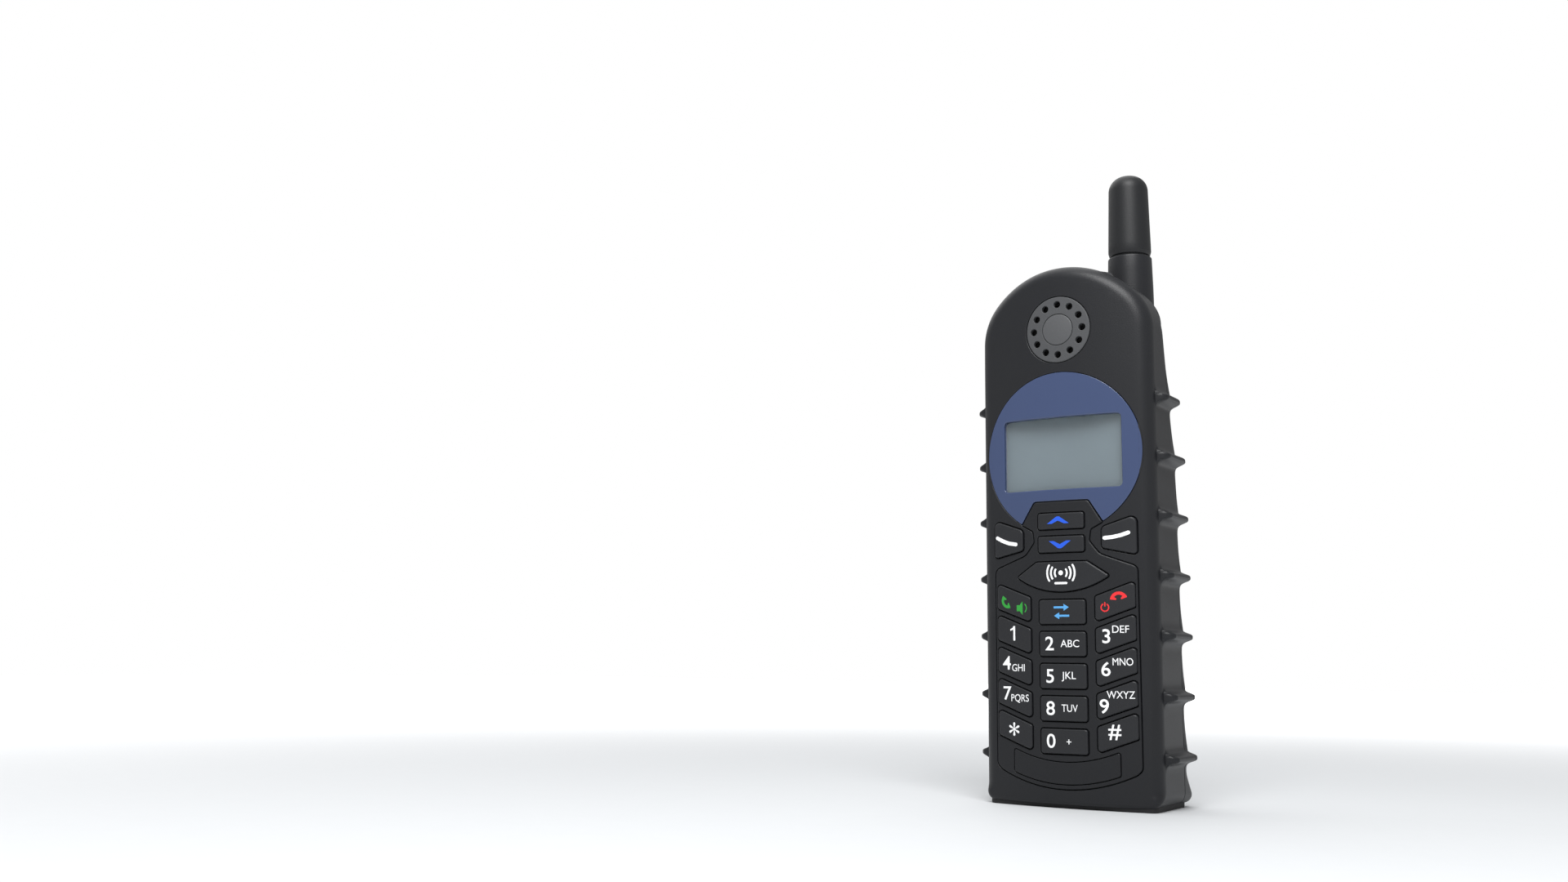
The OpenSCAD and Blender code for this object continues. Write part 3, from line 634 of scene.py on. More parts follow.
softbox("key_light", (0.15, -0.3, 0.5), 0.3, 3.4, (0, 0, 0.13))
softbox("ceiling_light", (-1.2, 0.9, 1.9), 3.0, 40, (-0.5, 0.9, 0))

# ---------------------------------------------------------------- housing


def side_heights():
    """Heights along the straight side, closer together on and beside the ribs."""
    zs = [Z_LOW + BOTTOM_R]
    while zs[-1] < SHOULDER_C - 0.2:
        near = min(abs(zs[-1] - r) for r in RIBS)
        zs.append(min(SHOULDER_C, zs[-1] + (0.22 if near < 3.4 else 0.5 if near < 6 else 1.0)))
    zs[-1] = SHOULDER_C
    return zs


def outline():
    """Front view of the housing, counter-clockwise: points, outward normals, front and rear edge radii."""
    zs = side_heights()
    rows = []

    def turn(cx, cz, r, a0, a1, n):
        for a in np.radians(np.linspace(a0, a1, n + 1)[:-1]):
            rows.append((cx + r * math.cos(a), cz + r * math.sin(a), math.cos(a), math.sin(a)))

    for x in np.linspace(-HALF_W + BOTTOM_R, HALF_W - BOTTOM_R, 48)[:-1]:
        rows.append((x, Z_LOW, 0, -1))
    turn(HALF_W - BOTTOM_R, Z_LOW + BOTTOM_R, BOTTOM_R, -90, 0, 10)
    rows.extend((HALF_W, z, 1, 0) for z in zs[:-1])
    turn(SHOULDER_X, SHOULDER_C, SHOULDER_R, 0, SHOULDER_A, 18)
    turn(0, TOP_C, TOP_R, SHOULDER_A, 180 - SHOULDER_A, 60)
    turn(-SHOULDER_X, SHOULDER_C, SHOULDER_R, 180 - SHOULDER_A, 180, 18)
    rows.extend((-HALF_W, z, -1, 0) for z in zs[:0:-1])
    turn(-HALF_W + BOTTOM_R, Z_LOW + BOTTOM_R, BOTTOM_R, 180, 270, 10)
    rows = np.array(rows)
    z = rows[:, 1]
    front_r = FOOT_FRONT_R + (FRONT_R - FOOT_FRONT_R) * smooth((z - 1) / 5) + 0.4 * smooth((z - 126) / 30)
    rear_r = FOOT_REAR_R + (REAR_R - FOOT_REAR_R) * smooth((z - 1) / 10)
    # near the top the back is close to the parting line, and the edge starts behind it
    room = back_y(z) - np.array([part_y(h) for h in z]) - 0.4
    rear_r = np.minimum(rear_r, room + REAR_R * (1 - smooth((z - 130) / 18)))
    return rows[:, :2], rows[:, 2:], front_r, rear_r


P, N, FRONT_EDGE, REAR_EDGE = outline()
PART = np.array([part_y(z) for z in P[:, 1]])
SIDE = np.abs(N[:, 0]) > 0.999


def ring_at(inset, y, out=None):
    """One ring of the housing: inset and y are arrays or numbers, out moves the side walls out."""
    move = -np.broadcast_to(inset, len(P)).astype(float)
    if out is not None:
        move = move + out
    q = P + N * move[:, None]
    return np.column_stack([q[:, 0], np.broadcast_to(y, len(P)), q[:, 1]])


def rib_out(y):
    """How far ribs and saddle stand out of the outline at one depth per point."""
    out = np.zeros(len(P))
    for i in range(len(P)):
        if SIDE[i]:
            out[i] = rib(y[i], P[i, 1])
        elif P[i, 1] > TOP_C + 10:
            out[i] = saddle(P[i, 0], y[i])
    return out


def corner(y):
    """Inset of the large rear edge at one depth per point."""
    t = np.clip((y - (back_y(P[:, 1]) - REAR_EDGE)) / REAR_EDGE, 0, 1)
    return REAR_EDGE * (1 - np.sqrt(1 - t * t))


def front_band():
    """Rings of the front half from the face, round its edge and back to the parting line."""
    rings = []
    for k in range(9):
        a = math.pi / 2 * k / 8
        inset = FRONT_EDGE * (1 - math.sin(a))
        x = P[:, 0] - N[:, 0] * inset
        rings.append(ring_at(inset, crown(x) + FRONT_EDGE * (1 - math.cos(a))))
    y0 = crown(P[:, 0]) + FRONT_EDGE
    end = PART - 0.38
    for t in np.linspace(0, 1, 50)[1:]:
        y = y0 + (end - y0) * t
        rings.append(ring_at(corner(y), y, rib_out(y)))
    out = rib_out(end)
    for inset, back in ((0.01, 0.26), (0.06, 0.15), (0.16, 0.08), (0.3, 0.06), (WALL, 0.06)):
        rings.append(ring_at(inset + corner(end), PART - back, out))
    return rings


def rear_band():
    """Rings of the rear half from the parting line round the large edge to the back."""
    start = PART + 0.32
    out = rib_out(start)
    rings = []
    for inset, back in ((WALL, 0.02), (0.3, 0.02), (0.16, 0.04), (0.06, 0.1), (0.01, 0.2)):
        rings.append(ring_at(inset + corner(start), PART + back, out))
    full = back_y(P[:, 1])
    for t in np.linspace(0, 1, 40):
        y = start + (full - start) * math.sin(math.pi / 2 * t)
        inset = corner(y)
        lift = back_y(P[:, 1] - N[:, 1] * inset) - full
        rings.append(ring_at(inset, y + lift * t * t, rib_out(y)))
    return rings


# right side of the keypad plate from below, as x, z and corner radius
PLATE_SIDE = [(22.2, 11.6, 2.2), (22.2, 68.9, 2.0), (11.6, 72.7, 3.6), (8.55, 76.6, 1.6),
              (9.0, 80.0, 1.2), (12.6, 81.9, 0.12), (8.45, 88.5, 1.2)]
# points in the plate's lower edge
PLATE_LOW_N = 25


def plate_outline():
    low = smile_arc(5.4, 46.7, -20.6, 20.6, PLATE_LOW_N)
    corners = [(x, z, 0) for x, z in low] + PLATE_SIDE + [(-x, z, r) for x, z, r in PLATE_SIDE[::-1]]
    for end in (0, PLATE_LOW_N - 1):
        corners[end] = (corners[end][0], corners[end][1], 2.0)
    return fillet([c[:2] for c in corners], [c[2] for c in corners], 8)


# how far below its middle the bezel's circle ends
BEZEL_CUT = 20.5


def bezel_outline():
    """The round bezel, cut below by the head of the keypad plate."""
    start = math.degrees(math.asin(-BEZEL_CUT / BEZEL_R))
    round_part = arc(0, LCD_Z, BEZEL_R, start, 180 - start, 150)
    pts = [tuple(p) for p in round_part] + [(-12.75, 82.3), (-8.6, 88.8), (8.6, 88.8), (12.75, 82.3)]
    return fillet(pts, [0] * len(round_part) + [0.05, 1.2, 1.2, 0.05], 6)


def opening_outline():
    """The opening in the face that takes the bezel and the keypad plate together."""
    p = offset(dense(ccw(plate_outline()), 0.8), 0.2)
    r = BEZEL_R + 0.12
    keep = [q for q in p if not (q[1] > 81.7 and abs(q[0]) < 13.5)]
    first = int(np.argmin([abs(q[0]) + q[1] for q in keep]))
    keep = keep[first:] + keep[:first]
    # counter-clockwise from the lowest point: up the right side, over the circle, down the left
    jump = max(range(1, len(keep)), key=lambda i: np.linalg.norm(keep[i] - keep[i - 1]))
    rise = 82.05 - LCD_Z
    a0 = math.degrees(math.atan2(rise, math.sqrt(r * r - rise ** 2)))
    top = arc(0, LCD_Z, r, a0, 180 - a0, 160)
    return np.array(keep[:jump] + [tuple(q) for q in top] + keep[jump:])


# distances of a side column's edges from the middle
COL_IN, COL_OUT = 10.0, 21.5


def side_key(row_top):
    """A key of the right-hand column, which slants up to the outside."""
    return [(COL_IN, row_top - 6.5), (COL_OUT, row_top - 2.3), (COL_OUT, row_top + 5.1),
            (COL_IN, row_top + 0.8)]


def mirror(loop):
    return np.column_stack([-np.array(loop)[:, 0], np.array(loop)[:, 1]])[::-1]


FLANGE = 0.6


def block(node):
    """The outline of a straight-sided key from its CAD box."""
    low, high = box(node)
    x, z0, z1 = high[0] - FLANGE, low[2] + FLANGE, high[2] - FLANGE
    return [(-x, z0), (x, z0), (x, z1), (-x, z1)]


ROW = box("intercom_key")[1][2] - FLANGE
PITCH = (box("intercom_key")[1][2] - box("key_0")[1][2]) / 4
SOFT = [(12.3, 74.4), (22.3, 72.3), (22.3, 83.8), (12.3, 80.4)]


def broadcast_outline():
    r = (14.4 ** 2 + 4.5 ** 2) / 9
    low = smile_arc(61.9, r, -14.4, 14.4, 25)
    pts = [tuple(p) for p in low] + [(7.9, 70.7), (-7.9, 70.7)]
    radii = [0.7] + [0] * 23 + [0.7, 0.9, 0.9]
    return fillet(pts, radii, 6)


KEYS = {
    "nav_up_key": fillet(block("nav_up_key"), 0.7),
    "nav_down_key": fillet(block("nav_down_key"), 0.7),
    "soft_right_key": fillet(SOFT, [1.0, 1.0, 1.6, 1.6]),
    "soft_left_key": mirror(fillet(SOFT, [1.0, 1.0, 1.6, 1.6])),
    "broadcast_key": broadcast_outline(),
    "intercom_key": fillet(block("intercom_key"), 0.8),
}
for k in "2580":
    KEYS["key_" + k] = fillet(block("key_" + k), 0.8)
SIDE_ROWS = (("talk_key", "end_key"), ("key_1", "key_3"), ("key_4", "key_6"), ("key_7", "key_9"),
             ("key_star", "key_hash"))
for row, (left_key, right_key) in enumerate(SIDE_ROWS):
    KEYS[right_key] = fillet(side_key(ROW - row * PITCH), [1.0, 0.9, 1.1, 0.9])
    KEYS[left_key] = mirror(KEYS[right_key])


def body_of_key(node):
    return node if node.endswith("_key") else node + "_key"


def name_outline():
    """The blank plate below the keys, between two shallow arcs."""
    low = smile_arc(6.8, 46, -16.24, 16.24, 21)
    high = smile_arc(13, 40, -16.24, 16.24, 21)[::-1]
    pts = [tuple(p) for p in low] + [tuple(p) for p in high]
    return fillet(pts, ([0.8] + [0] * 19 + [0.8]) * 2, 6)


# gaps round the keys and round the blank plate
KEY_GAP, NAME_GAP = 0.24, 0.16


def front_housing():
    """The front half, open at the back, with openings for the plates, the soft keys and the earpiece."""
    s = Solid()
    rings = front_band()
    outer = rings[0][:, [0, 2]]
    openings = [dense(ccw(opening_outline()), 0.9), circle(EAR[0], EAR[2], EAR_R + 0.18)]
    for k in ("soft_left_key", "soft_right_key"):
        openings.append(offset(dense(ccw(KEYS[k]), 0.9), KEY_GAP))
    prof = edge_profile(0.28, n=3, deep=WALL)
    s.cap(outer, [offset(h, prof[0][0]) for h in openings], on_crown(), 1.5)
    for h in openings:
        s.rings([on_crown(d)(offset(h, i)) for i, d in prof])
    s.rings(rings)
    inner = P - N * WALL
    s.rings([rings[-1], np.column_stack([inner[:, 0], crown(inner[:, 0]) + WALL, inner[:, 1]])])
    s.cap(inner, openings, on_crown(WALL), 2.2, True)
    return s


front_housing().make("front_housing", BODY, "handset", "shell", ["front_shell"], angle=50)


COVER_LOW, COVER_HIGH = box("battery_cover")
COVER_Z = 55.0
COVER_W, COVER_H = COVER_HIGH[0] - COVER_LOW[0], 82.0
COVER_GAP, COVER_T = 0.3, 1.8
SPK_Z = 111.7
HOLE_R, HOLE_PITCH = 0.8, 3.1
SCREW_Z = 91.0
# battery bay: its middle, size and depth, and the places of its three contacts
BAY_Z, BAY_W, BAY_H = 53, 34, 66
BAY_D = Y_BACK - 6.2
CONTACTS = (-10.1, 0, 10.1)
# housing screws: place and depth of the head
SCREWS = [(21.2, 6.8, 9.5), (-21.2, 6.8, 9.5), (19.5, 131.0, 3.0), (-19.5, 131.0, 3.0)]


def sound_holes():
    """One hole in the middle and two rings of holes round it."""
    out = [circle(0.0, SPK_Z, HOLE_R, 20)]
    for ring_no, count in ((1, 6), (2, 12)):
        r = HOLE_PITCH * ring_no
        for i in range(count):
            a = 2 * math.pi * i / count
            out.append(circle(r * math.cos(a), SPK_Z + r * math.sin(a), HOLE_R, 20))
    return out


def on_back(d):
    """Lays plane points on the back, d deep along the lower back's normal."""
    return lambda p: np.column_stack([p[:, 0], back_y(p[:, 1]) - d * math.cos(LEAN_LOW),
                                      p[:, 1] - d * math.sin(LEAN_LOW)])


def down_to(y):
    """The same as on_back, but no deeper than an upright floor."""
    return lambda d: (lambda p: np.column_stack([p[:, 0], np.maximum(back_y(p[:, 1]) - d, y), p[:, 1]]))


def rear_housing():
    """The rear half with the recess of the battery cover, the bay, sound holes and screw wells."""
    s = Solid()
    rings = rear_band()
    outer = rings[-1][:, [0, 2]]
    recess = round_rect(0, COVER_Z, COVER_W + 2 * COVER_GAP, COVER_H + 2 * COVER_GAP, 3 + COVER_GAP)
    recess = dense(recess, 1.2)
    holes = sound_holes()
    screws = [circle(x, z, 2.3, 40) for x, z, head_y in SCREWS]
    prof = edge_profile(0.35, n=3, deep=WALL)
    small = edge_profile(0.15, n=2, deep=WALL)
    caps = [offset(recess, prof[0][0])] + [offset(h, small[0][0]) for h in holes]
    caps += [offset(h, small[0][0]) for h in screws]
    s.cap(outer, caps, on_back(0), 2.0, True)
    for h in holes:
        s.rings([on_back(d)(offset(h, i)) for i, d in small])
    for h, (x, z, head_y) in zip(screws, SCREWS):
        s.rings([down_to(head_y)(d)(offset(h, i)) for i, d in small[:-1] + [(0.0, 99.0)]])
        s.cap(h, [], flat(head_y), 1.0, True)
    floor_d = COVER_T + COVER_GAP
    s.rings([on_back(min(d, floor_d))(offset(recess, i)) for i, d in prof[:-1]] + [on_back(floor_d)(recess)])
    bay = dense(round_rect(0, BAY_Z, BAY_W, BAY_H, 0.6), 1.5)
    hole = circle(0, SCREW_Z, 1.6, 24)
    s.cap(recess, [bay, hole], on_back(floor_d), 2.0, True)
    s.rings([on_back(floor_d)(hole), on_back(floor_d + 4)(hole)])
    s.cap(hole, [], on_back(floor_d + 4), 1.0, True)
    s.rings([on_back(floor_d)(bay), on_back(BAY_D)(bay)])
    slots = [dense(round_rect(x, 26.5, 2.2, 5, 0.2), 1.0) for x in CONTACTS]
    s.cap(bay, slots, on_back(BAY_D), 3.0, True)
    for q in slots:
        s.rings([on_back(BAY_D)(q), on_back(BAY_D + 1.8)(q)])
        s.cap(q, [], on_back(BAY_D + 1.8), 2.0, True)
    s.rings(rings)
    s.rings([rings[0], ring_at(WALL, np.maximum(PART + 2.0, back_y(P[:, 1]) - REAR_EDGE - 1.0))])
    return s


rear_housing().make("rear_housing", BODY, "handset", "shell", ["rear_shell"], angle=50)


def antenna_parts():
    """The boss grows out of the back as a cone; the sleeve stands on it over a narrow groove."""
    low, high = box("antenna_sleeve")
    cx, cy = (low[0] + high[0]) / 2, (low[1] + high[1]) / 2
    seam, top, r0 = low[2] - 0.5, high[2], high[0] - (low[0] + high[0]) / 2
    foot_z, foot_r, neck_r = 124.0, 2.2, 6.62
    boss = [(0.0, foot_z), (foot_r, foot_z)]
    for t in np.linspace(0.1, 1, 10):
        boss.append((foot_r + 4.7 * float(smooth(t * 0.5) * 2), foot_z + 23 * t))
    boss += [(6.9, 152.0), (6.85, 156.0), (6.72, 161.0), (neck_r, seam - 0.5)]
    for a in np.radians([25, 45, 65, 90]):
        boss.append((neck_r - 0.3 * (1 - math.cos(a)), seam - 0.5 + 0.42 * math.sin(a)))
    boss += [(6.1, seam - 0.06), (4.1, seam - 0.04), (4.1, 157.0), (0.0, 157.0)]
    lathe(boss, cx, cy).make("antenna_boss", BODY, "handset", "shell", angle=40)
    r1, dome, tip = r0 - 0.5, 4.9, 1.15
    # a low ring under the sleeve closes the groove
    prof = [(0.0, seam + 0.5), (4.6, seam + 0.5), (4.6, seam + 0.1), (5.7, seam + 0.1), (5.7, seam + 0.5)]
    prof.append((r0 - 0.62, seam + 0.5))
    for a in np.radians([30, 60, 90]):
        prof.append((r0 - 0.62 + 0.3 * math.sin(a), seam + 0.8 - 0.3 * math.cos(a)))
    prof += [(r0 - 0.12, seam + 1.5), (r0 - 0.02, seam + 1.9)]
    for t in np.linspace(0.1, 1, 8):
        prof.append((r0 + (r1 - r0) * t, seam + 2 + (top - dome - seam - 2) * t))
    for a in np.radians(np.linspace(6, 90, 18)):
        prof.append((tip + (r1 - tip) * math.cos(a), top - dome + dome * math.sin(a)))
    prof.append((0.0, top))
    lathe(prof, cx, cy).make("antenna_cover", ANT, "antenna", "rubber", ["antenna_sleeve"], angle=40)


antenna_parts()

# ---------------------------------------------------------------- face


# how far the keys stand above the face
RISE = 0.55

lcd_loop = round_rect(0, LCD_Z, LCD_W, LCD_H, LCD_R)
bezel = plate(dense(ccw(bezel_outline()), 1.0), [dense(lcd_loop, 1.0)], edge=0.12, hole_edge=0.3, deep=1.9)
bezel.make("blue_bezel", BEZEL, "handset", "bezel", ["display_bezel"], angle=40)

key_gaps = [offset(dense(ccw(KEYS[k]), 0.9), KEY_GAP) for k in KEYS if not k.startswith("soft")]
name_gap = offset(dense(ccw(name_outline()), 0.9), NAME_GAP)
keypad = plate(dense(ccw(plate_outline()), 0.9), key_gaps + [name_gap], rise=0.12, edge=0.42,
               hole_edge=0.25, grid=1.2)
keypad.make("keypad_frame", PLATE, "handset", "plate", ["keypad_plate"], angle=40)
blank = plate(dense(ccw(name_outline()), 0.9), rise=0.25)
blank.make("blank_plate", PLATE, "handset", "plate", ["name_plate"], angle=40)

for node, loop in KEYS.items():
    key = plate(dense(ccw(loop), 0.9), rise=RISE, edge=0.5, deep=4.0, grid=1.2)
    key.make(node + "_cap", KEY, body_of_key(node), "keys", [node], angle=40)

# earpiece: a ring of small holes round the hole of the domed cap
EAR_RING_R, EAR_HOLE_R = 7.7, 1.05
EAR_CAP_R, EAR_CAP_HOLE_R = 4.72, 4.85


def ear_disc():
    holes = [circle(EAR_RING_R * math.sin(a), EAR[2] + EAR_RING_R * math.cos(a), EAR_HOLE_R, 32)
             for a in np.radians(np.arange(0, 360, 30))]
    holes.append(circle(0, EAR[2], EAR_CAP_HOLE_R, 72))
    return plate(circle(0, EAR[2], EAR_R, 120), holes, edge=0.3, hole_edge=0.15, deep=1.3, grid=1.0)


ear_disc().make("ear_disc", GRILLE, "handset", "grille", ["earpiece_grille"], angle=40)


def ear_cap():
    """The domed disc in the middle of the earpiece."""
    s = Solid()
    n = 72
    a = np.linspace(0, 2 * math.pi, n, endpoint=False)

    def ring(r, y):
        return np.column_stack([r * np.cos(a), np.full(n, y), EAR[2] + r * np.sin(a)])

    prof = [(0.0, 0.7), (4.6, 0.7), (EAR_CAP_R, 0.3)]
    for q in np.radians([0, 30, 60, 90]):
        prof.append((EAR_CAP_R - 0.25 * (1 - math.cos(q)), 0.25 - 0.22 * math.sin(q)))
    prof += [(r, 0.03 - 0.33 * (1 - (r / 4.47) ** 2)) for r in np.linspace(4.3, 0.0, 12)]
    s.rings([ring(r, Y_FRONT + y) for r, y in prof])
    return s


ear_cap().make("ear_dome", CAP, "handset", "grille", ["earpiece_cap"], angle=50)

# ---------------------------------------------------------------- prints


DIGIT_SIZE, LETTER_SIZE = 5.6, 3.0
# half thickness of a print laid on a key
INK = 0.02


def text(name, words, x, z, size, body, width=1.0, weight=0.0):
    """Generic white digits or letters, centred on a place on the crowned face."""
    data = bpy.data.curves.new(name + "_curve", "FONT")
    data.body = words
    data.size = size
    data.extrude = INK
    data.offset = weight
    data.align_x = "CENTER"
    data.align_y = "CENTER"
    data.resolution_u = 6
    obj = bpy.data.objects.new(name + "_source", data)
    scene.collection.objects.link(obj)
    dg = bpy.context.evaluated_depsgraph_get()
    mesh = bpy.data.meshes.new_from_object(obj.evaluated_get(dg))
    bpy.data.objects.remove(obj)
    co = np.array([v.co for v in mesh.vertices])
    mid = (co.min(0) + co.max(0)) / 2
    for v in mesh.vertices:
        at_x = x + (v.co.x - mid[0]) * width
        at_z = z + v.co.y - mid[1]
        v.co = Vector((at_x, float(crown(at_x)) - RISE - v.co.z - INK, at_z)) * 0.001
    mesh.materials.clear()
    mesh.update()
    return dress(name, mesh, WHITE, body, (), 30)


def shape(name, loops, mat, body):
    """A thin printed shape from one or more outlines in face coordinates."""
    s = Solid()
    top, low = on_crown(-RISE - 0.03), on_crown(-RISE + 0.02)
    for loop in loops:
        loop = dense(ccw(np.array(loop, float)), 0.8)
        s.cap(loop, [], top, 1.0)
        s.rings([top(loop), low(loop)])
        s.cap(loop, [], low, 1.0, True)
    return s.make(name, mat, body, "keys", (), 30, merge=0.0005)


def stroke(points, w):
    """The outline of a line of width w with round ends."""
    pts = np.array(points, float)

    def round_end(at, before):
        base = math.atan2(at[1] - before[1], at[0] - before[0])
        angles = np.linspace(-math.pi / 2, math.pi / 2, 6)[1:-1]
        return [at + w / 2 * np.array([math.cos(base + t), math.sin(base + t)]) for t in angles]

    left, right_side = [], []
    for i, p in enumerate(pts):
        a = pts[max(0, i - 1)]
        b = pts[min(len(pts) - 1, i + 1)]
        d = (b - a) / np.linalg.norm(b - a)
        across = np.array([-d[1], d[0]])
        c = 1
        if 0 < i < len(pts) - 1:
            d1 = (p - a) / np.linalg.norm(p - a)
            c = max(0.5, float(across @ np.array([-d1[1], d1[0]])))
        left.append(p + across * w / 2 / c)
        right_side.append(p - across * w / 2 / c)
    return np.array(right_side + round_end(pts[-1], pts[-2]) + left[::-1] + round_end(pts[0], pts[1]))


def turned(loop, angle, cx, cz, size=1.0):
    """The loop turned, scaled and moved to a place on the face."""
    c, k = math.cos(math.radians(angle)) * size, math.sin(math.radians(angle)) * size
    loop = np.array(loop, float)
    return np.column_stack([cx + c * loop[:, 0] - k * loop[:, 1], cz + k * loop[:, 0] + c * loop[:, 1]])


# the digit 1 about its own middle
ONE = [(0.1, -2.15), (0.72, -2.15), (0.72, 2.15), (0.2, 2.15), (-0.25, 1.5), (-0.95, 1.25), (-0.95, 0.72),
       (0.1, 1.1)]
# middles of the digits
DIGITS = {"2": (-3.9, 46.9), "3": (13.2, 49.0), "4": (-18.3, 41.2), "5": (-3.9, 37.5),
          "6": (12.9, 39.7), "7": (-18.2, 32.3), "8": (-3.9, 28.3), "9": (12.2, 29.2), "0": (-3.9, 19.0)}
# words, their middle and width factor
LETTERS = {"2": ("ABC", 2.4, 46.9, 1.0), "3": ("DEF", 17.3, 51.0, 0.97), "4": ("GHI", -14.3, 39.8, 0.9),
           "5": ("JKL", 1.9, 37.4, 1.0), "6": ("MNO", 17.7, 41.8, 0.84), "7": ("PQRS", -13.9, 30.8, 0.86),
           "8": ("TUV", 2.0, 28.4, 0.86), "9": ("WXYZ", 16.9, 32.5, 0.88), "0": ("+", 1.6, 18.9, 1.0)}
for d, (x, z) in DIGITS.items():
    text("digit_" + d, d, x, z, DIGIT_SIZE, "key_%s_key" % d, width=1.06, weight=0.05)
for d, (words, x, z, wide) in LETTERS.items():
    text("letters_" + d, words, x, z, LETTER_SIZE, "key_%s_key" % d, width=wide)
shape("digit_1", [turned(ONE, 0, -16.0, 49.9)], WHITE, "key_1_key")
text("digit_star", "*", -16.0, 21.9, 8.5, "key_star_key", weight=0.05)
text("digit_hash", "#", 15.0, 22.0, 6.0, "key_hash_key", weight=0.06)


def receiver():
    """A telephone receiver, ends down."""
    return np.concatenate([arc(0, 0, 2.4, 14, 166, 20), arc(0, 0, 0.75, 166, 140, 4),
                           arc(0, 0, 1.55, 136, 44, 12), arc(0, 0, 0.75, 40, 14, 4)])


def broadcast_mark():
    """A dot with waves on both sides and a bar below."""
    z = 67.4
    loops = [circle(0, z, 0.7, 20)]
    for r in (1.9, 3.1, 4.3):
        loops.append(stroke(arc(0, z, r, -32, 32, 10), 0.55))
        loops.append(stroke(arc(0, z, r, 148, 212, 10), 0.55))
    return loops + [stroke([(-1.7, 64.4), (1.7, 64.4)], 0.65)]


def power_mark():
    """An open ring with a stroke in its gap."""
    x, z = 13.0, 57.2
    return [stroke(arc(x, z, 1.1, 125, 415, 14), 0.36), stroke([(x, 57.6), (x, 58.6)], 0.36)]


# outlines of the marks in face coordinates; ARROW is drawn from its own tail
HORN = [(-14.6, 56.4), (-13.6, 56.4), (-12.6, 55.3), (-12.6, 59.3), (-13.6, 58.2), (-14.6, 58.2)]
ARROW = [(0, 0.3), (0, -0.3), (3.1, -0.3), (3.1, -1.0), (4.7, 0.0), (3.1, 1.0), (3.1, 0.3)]
UP = [(-4.1, 81.9), (-2.6, 81.9), (-0.65, 82.8), (1.3, 81.9), (2.8, 81.9), (-0.2, 84.0), (-1.1, 84.0)]
DOWN = [(-3.6, 76.8), (-2.1, 76.8), (-0.15, 75.8), (1.8, 76.8), (3.3, 76.8), (0.35, 74.6), (-0.65, 74.6)]
DASH_LEFT = [(-21.2, 78.5), (-19.2, 77.5), (-17, 76.7), (-14.6, 76.3)]
DASH_RIGHT = [(13.3, 77.2), (15.6, 77.4), (18, 77.9), (20.1, 78.6)]
shape("mark_talk", [turned(receiver(), 125, -17.6, 59.6, 0.95)], GREEN, "talk_key")
shape("mark_speaker", [HORN], GREEN, "talk_key")
shape("mark_speaker_wave", [stroke(arc(-12.8, 57.3, 1.5, -48, 48, 8), 0.32)], GREEN, "talk_key")
shape("mark_end", [turned(receiver(), 8, 17.0, 59.2, 1.05)], RED, "end_key")
shape("mark_power", power_mark(), RED, "end_key")
shape("mark_intercom", [turned(ARROW, 0, -2.4, 57.35), turned(ARROW, 180, 2.4, 54.9)], SKY, "intercom_key")
shape("mark_broadcast", broadcast_mark(), WHITE, "broadcast_key")
shape("dash_left", [stroke(DASH_LEFT, 1.1)], WHITE, "soft_left_key")
shape("dash_right", [stroke(DASH_RIGHT, 1.1)], WHITE, "soft_right_key")
shape("mark_up", [UP], BLUE, "nav_up_key")
shape("mark_down", [DOWN], BLUE, "nav_down_key")

# ---------------------------------------------------------------- foot, back


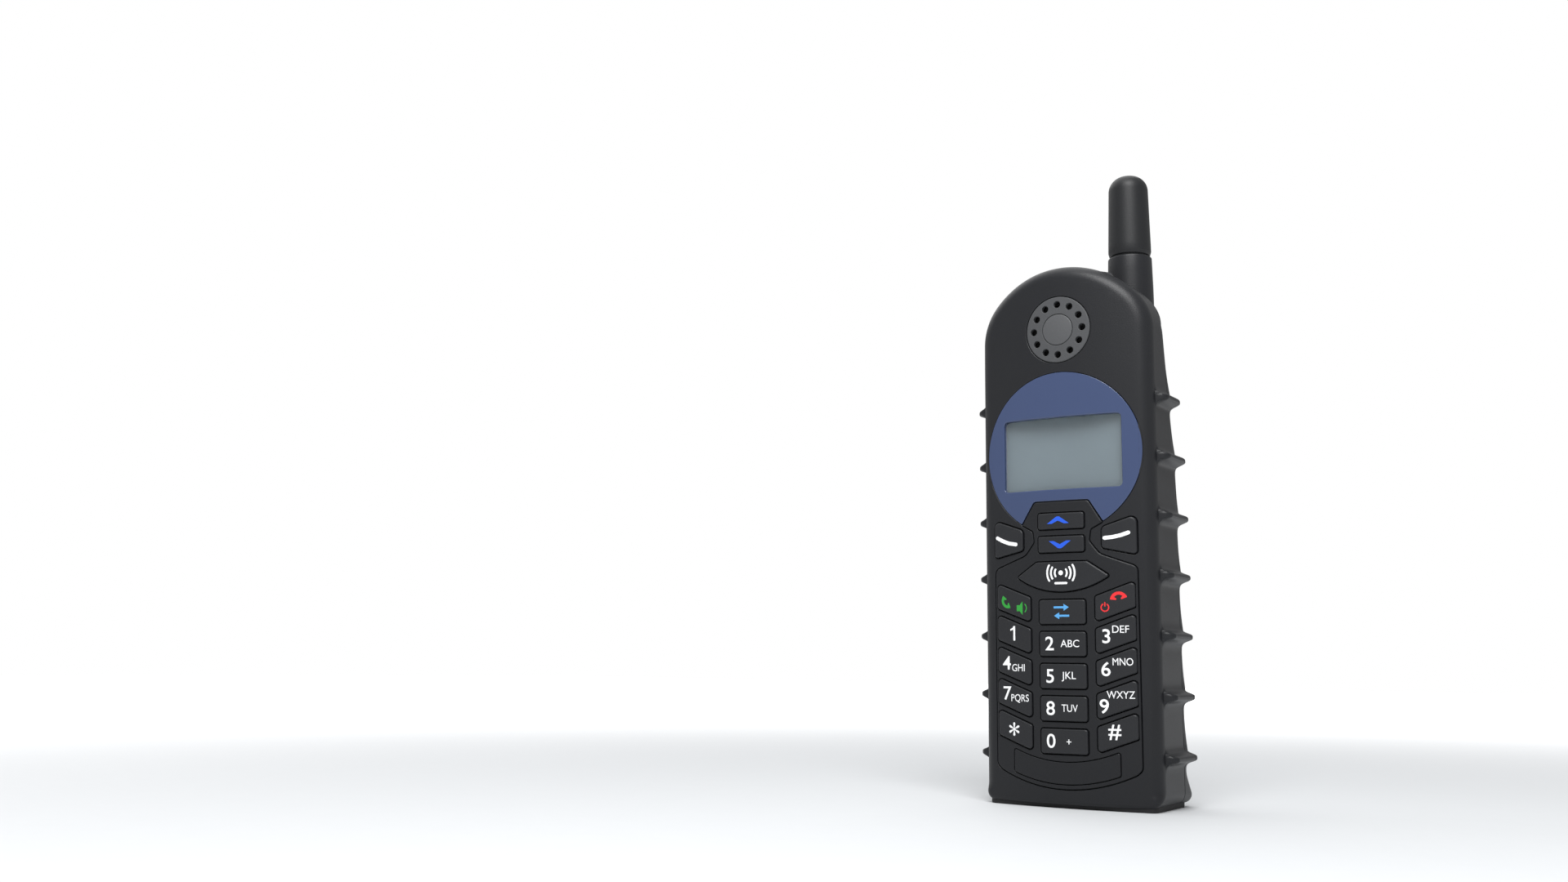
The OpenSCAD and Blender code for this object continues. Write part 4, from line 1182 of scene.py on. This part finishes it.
def foot():
    """The black foot, with holes for the charging contacts and the microphone."""
    low, high = box("base_foot")
    s = Solid()
    side_y, mid_y = low[1] + 2.0, low[1] + 0.6
    corners = [(low[0], side_y), (-16, mid_y), (0, low[1]), (16, mid_y), (high[0], side_y),
               (high[0], high[1]), (low[0], high[1])]
    outer = ccw(dense(fillet(corners, [2.2, 30, 60, 30, 2.2, 4.5, 4.5], 6), 1.5))
    holes = [circle(x, 10.8, 2.4, 40) for x in (-7, 7)] + [circle(0, -9.6, 0.6, 16)]

    def at(z):
        return lambda p: np.column_stack([p[:, 0], p[:, 1], np.full(len(p), float(z))])

    prof = [(0.5, 0.0), (0.3, 0.0), (0.08, 0.1), (0.0, 0.32), (0.0, high[2])]
    s.cap(offset(outer, -0.5), holes, at(low[2]), 3.0, True)
    s.rings([at(z)(offset(outer, -i)) for i, z in prof])
    for h in holes:
        s.rings([at(low[2])(h), at(high[2])(h)])
    s.cap(outer, holes, at(high[2]), 3.0)
    return s


foot().make("foot_pad", FOOT, "handset", "rubber", ["base_foot"], angle=40)


def battery():
    """The cover with its grip grooves, and behind it the tray that holds the cell."""
    s = Solid()
    outer = dense(round_rect(0, COVER_Z, COVER_W, COVER_H, 3.0), 1.2)
    screw = circle(0, SCREW_Z, 3.6, 48)
    grooves = [dense(round_rect(0, 19.6 + i * 2.6, 16, 1.2, 0.55), 0.8) for i in range(5)]
    groove_d = 0.6
    prof = edge_profile(0.45, n=4, deep=COVER_T)
    shallow = edge_profile(0.18, n=2, deep=groove_d)
    caps = [offset(screw, 0.37)] + [offset(g, shallow[0][0]) for g in grooves]
    s.cap(offset(outer, -prof[0][0]), caps, on_back(0), 2.0, True)
    s.rings([on_back(d)(offset(outer, -i)) for i, d in prof])
    s.rings([on_back(d)(offset(screw, i)) for i, d in edge_profile(0.25, n=2, deep=1.0)])
    small = circle(0, SCREW_Z, 1.7, 24)
    s.cap(screw, [small], on_back(1.0), 1.0, True)
    s.rings([on_back(1.0)(small), on_back(COVER_T)(small)])
    for g in grooves:
        s.rings([on_back(d)(offset(g, i)) for i, d in shallow])
        s.cap(g, [], on_back(groove_d), 1.0, True)
    cup = dense(round_rect(0, BAY_Z, BAY_W - 0.8, BAY_H - 0.8, 0.8), 1.5)
    s.cap(outer, [cup, small], on_back(COVER_T), 2.5)
    end = BAY_D - 0.9
    s.rings([on_back(COVER_T)(cup), on_back(end - 0.4)(cup), on_back(end)(offset(cup, -0.4))])
    wells = [dense(round_rect(x, 26.25, 3.2, 6.5, 0.3), 1.2) for x in CONTACTS]
    s.cap(offset(cup, -0.4), wells, on_back(end), 3.0)
    for w in wells:
        s.rings([on_back(end)(w), on_back(end - 1.05)(w)])
        s.cap(w, [], on_back(end - 1.05), 2.0)
    return s


battery().make("battery_pack", BODY, "battery", "shell", ["battery_cover"], angle=40)
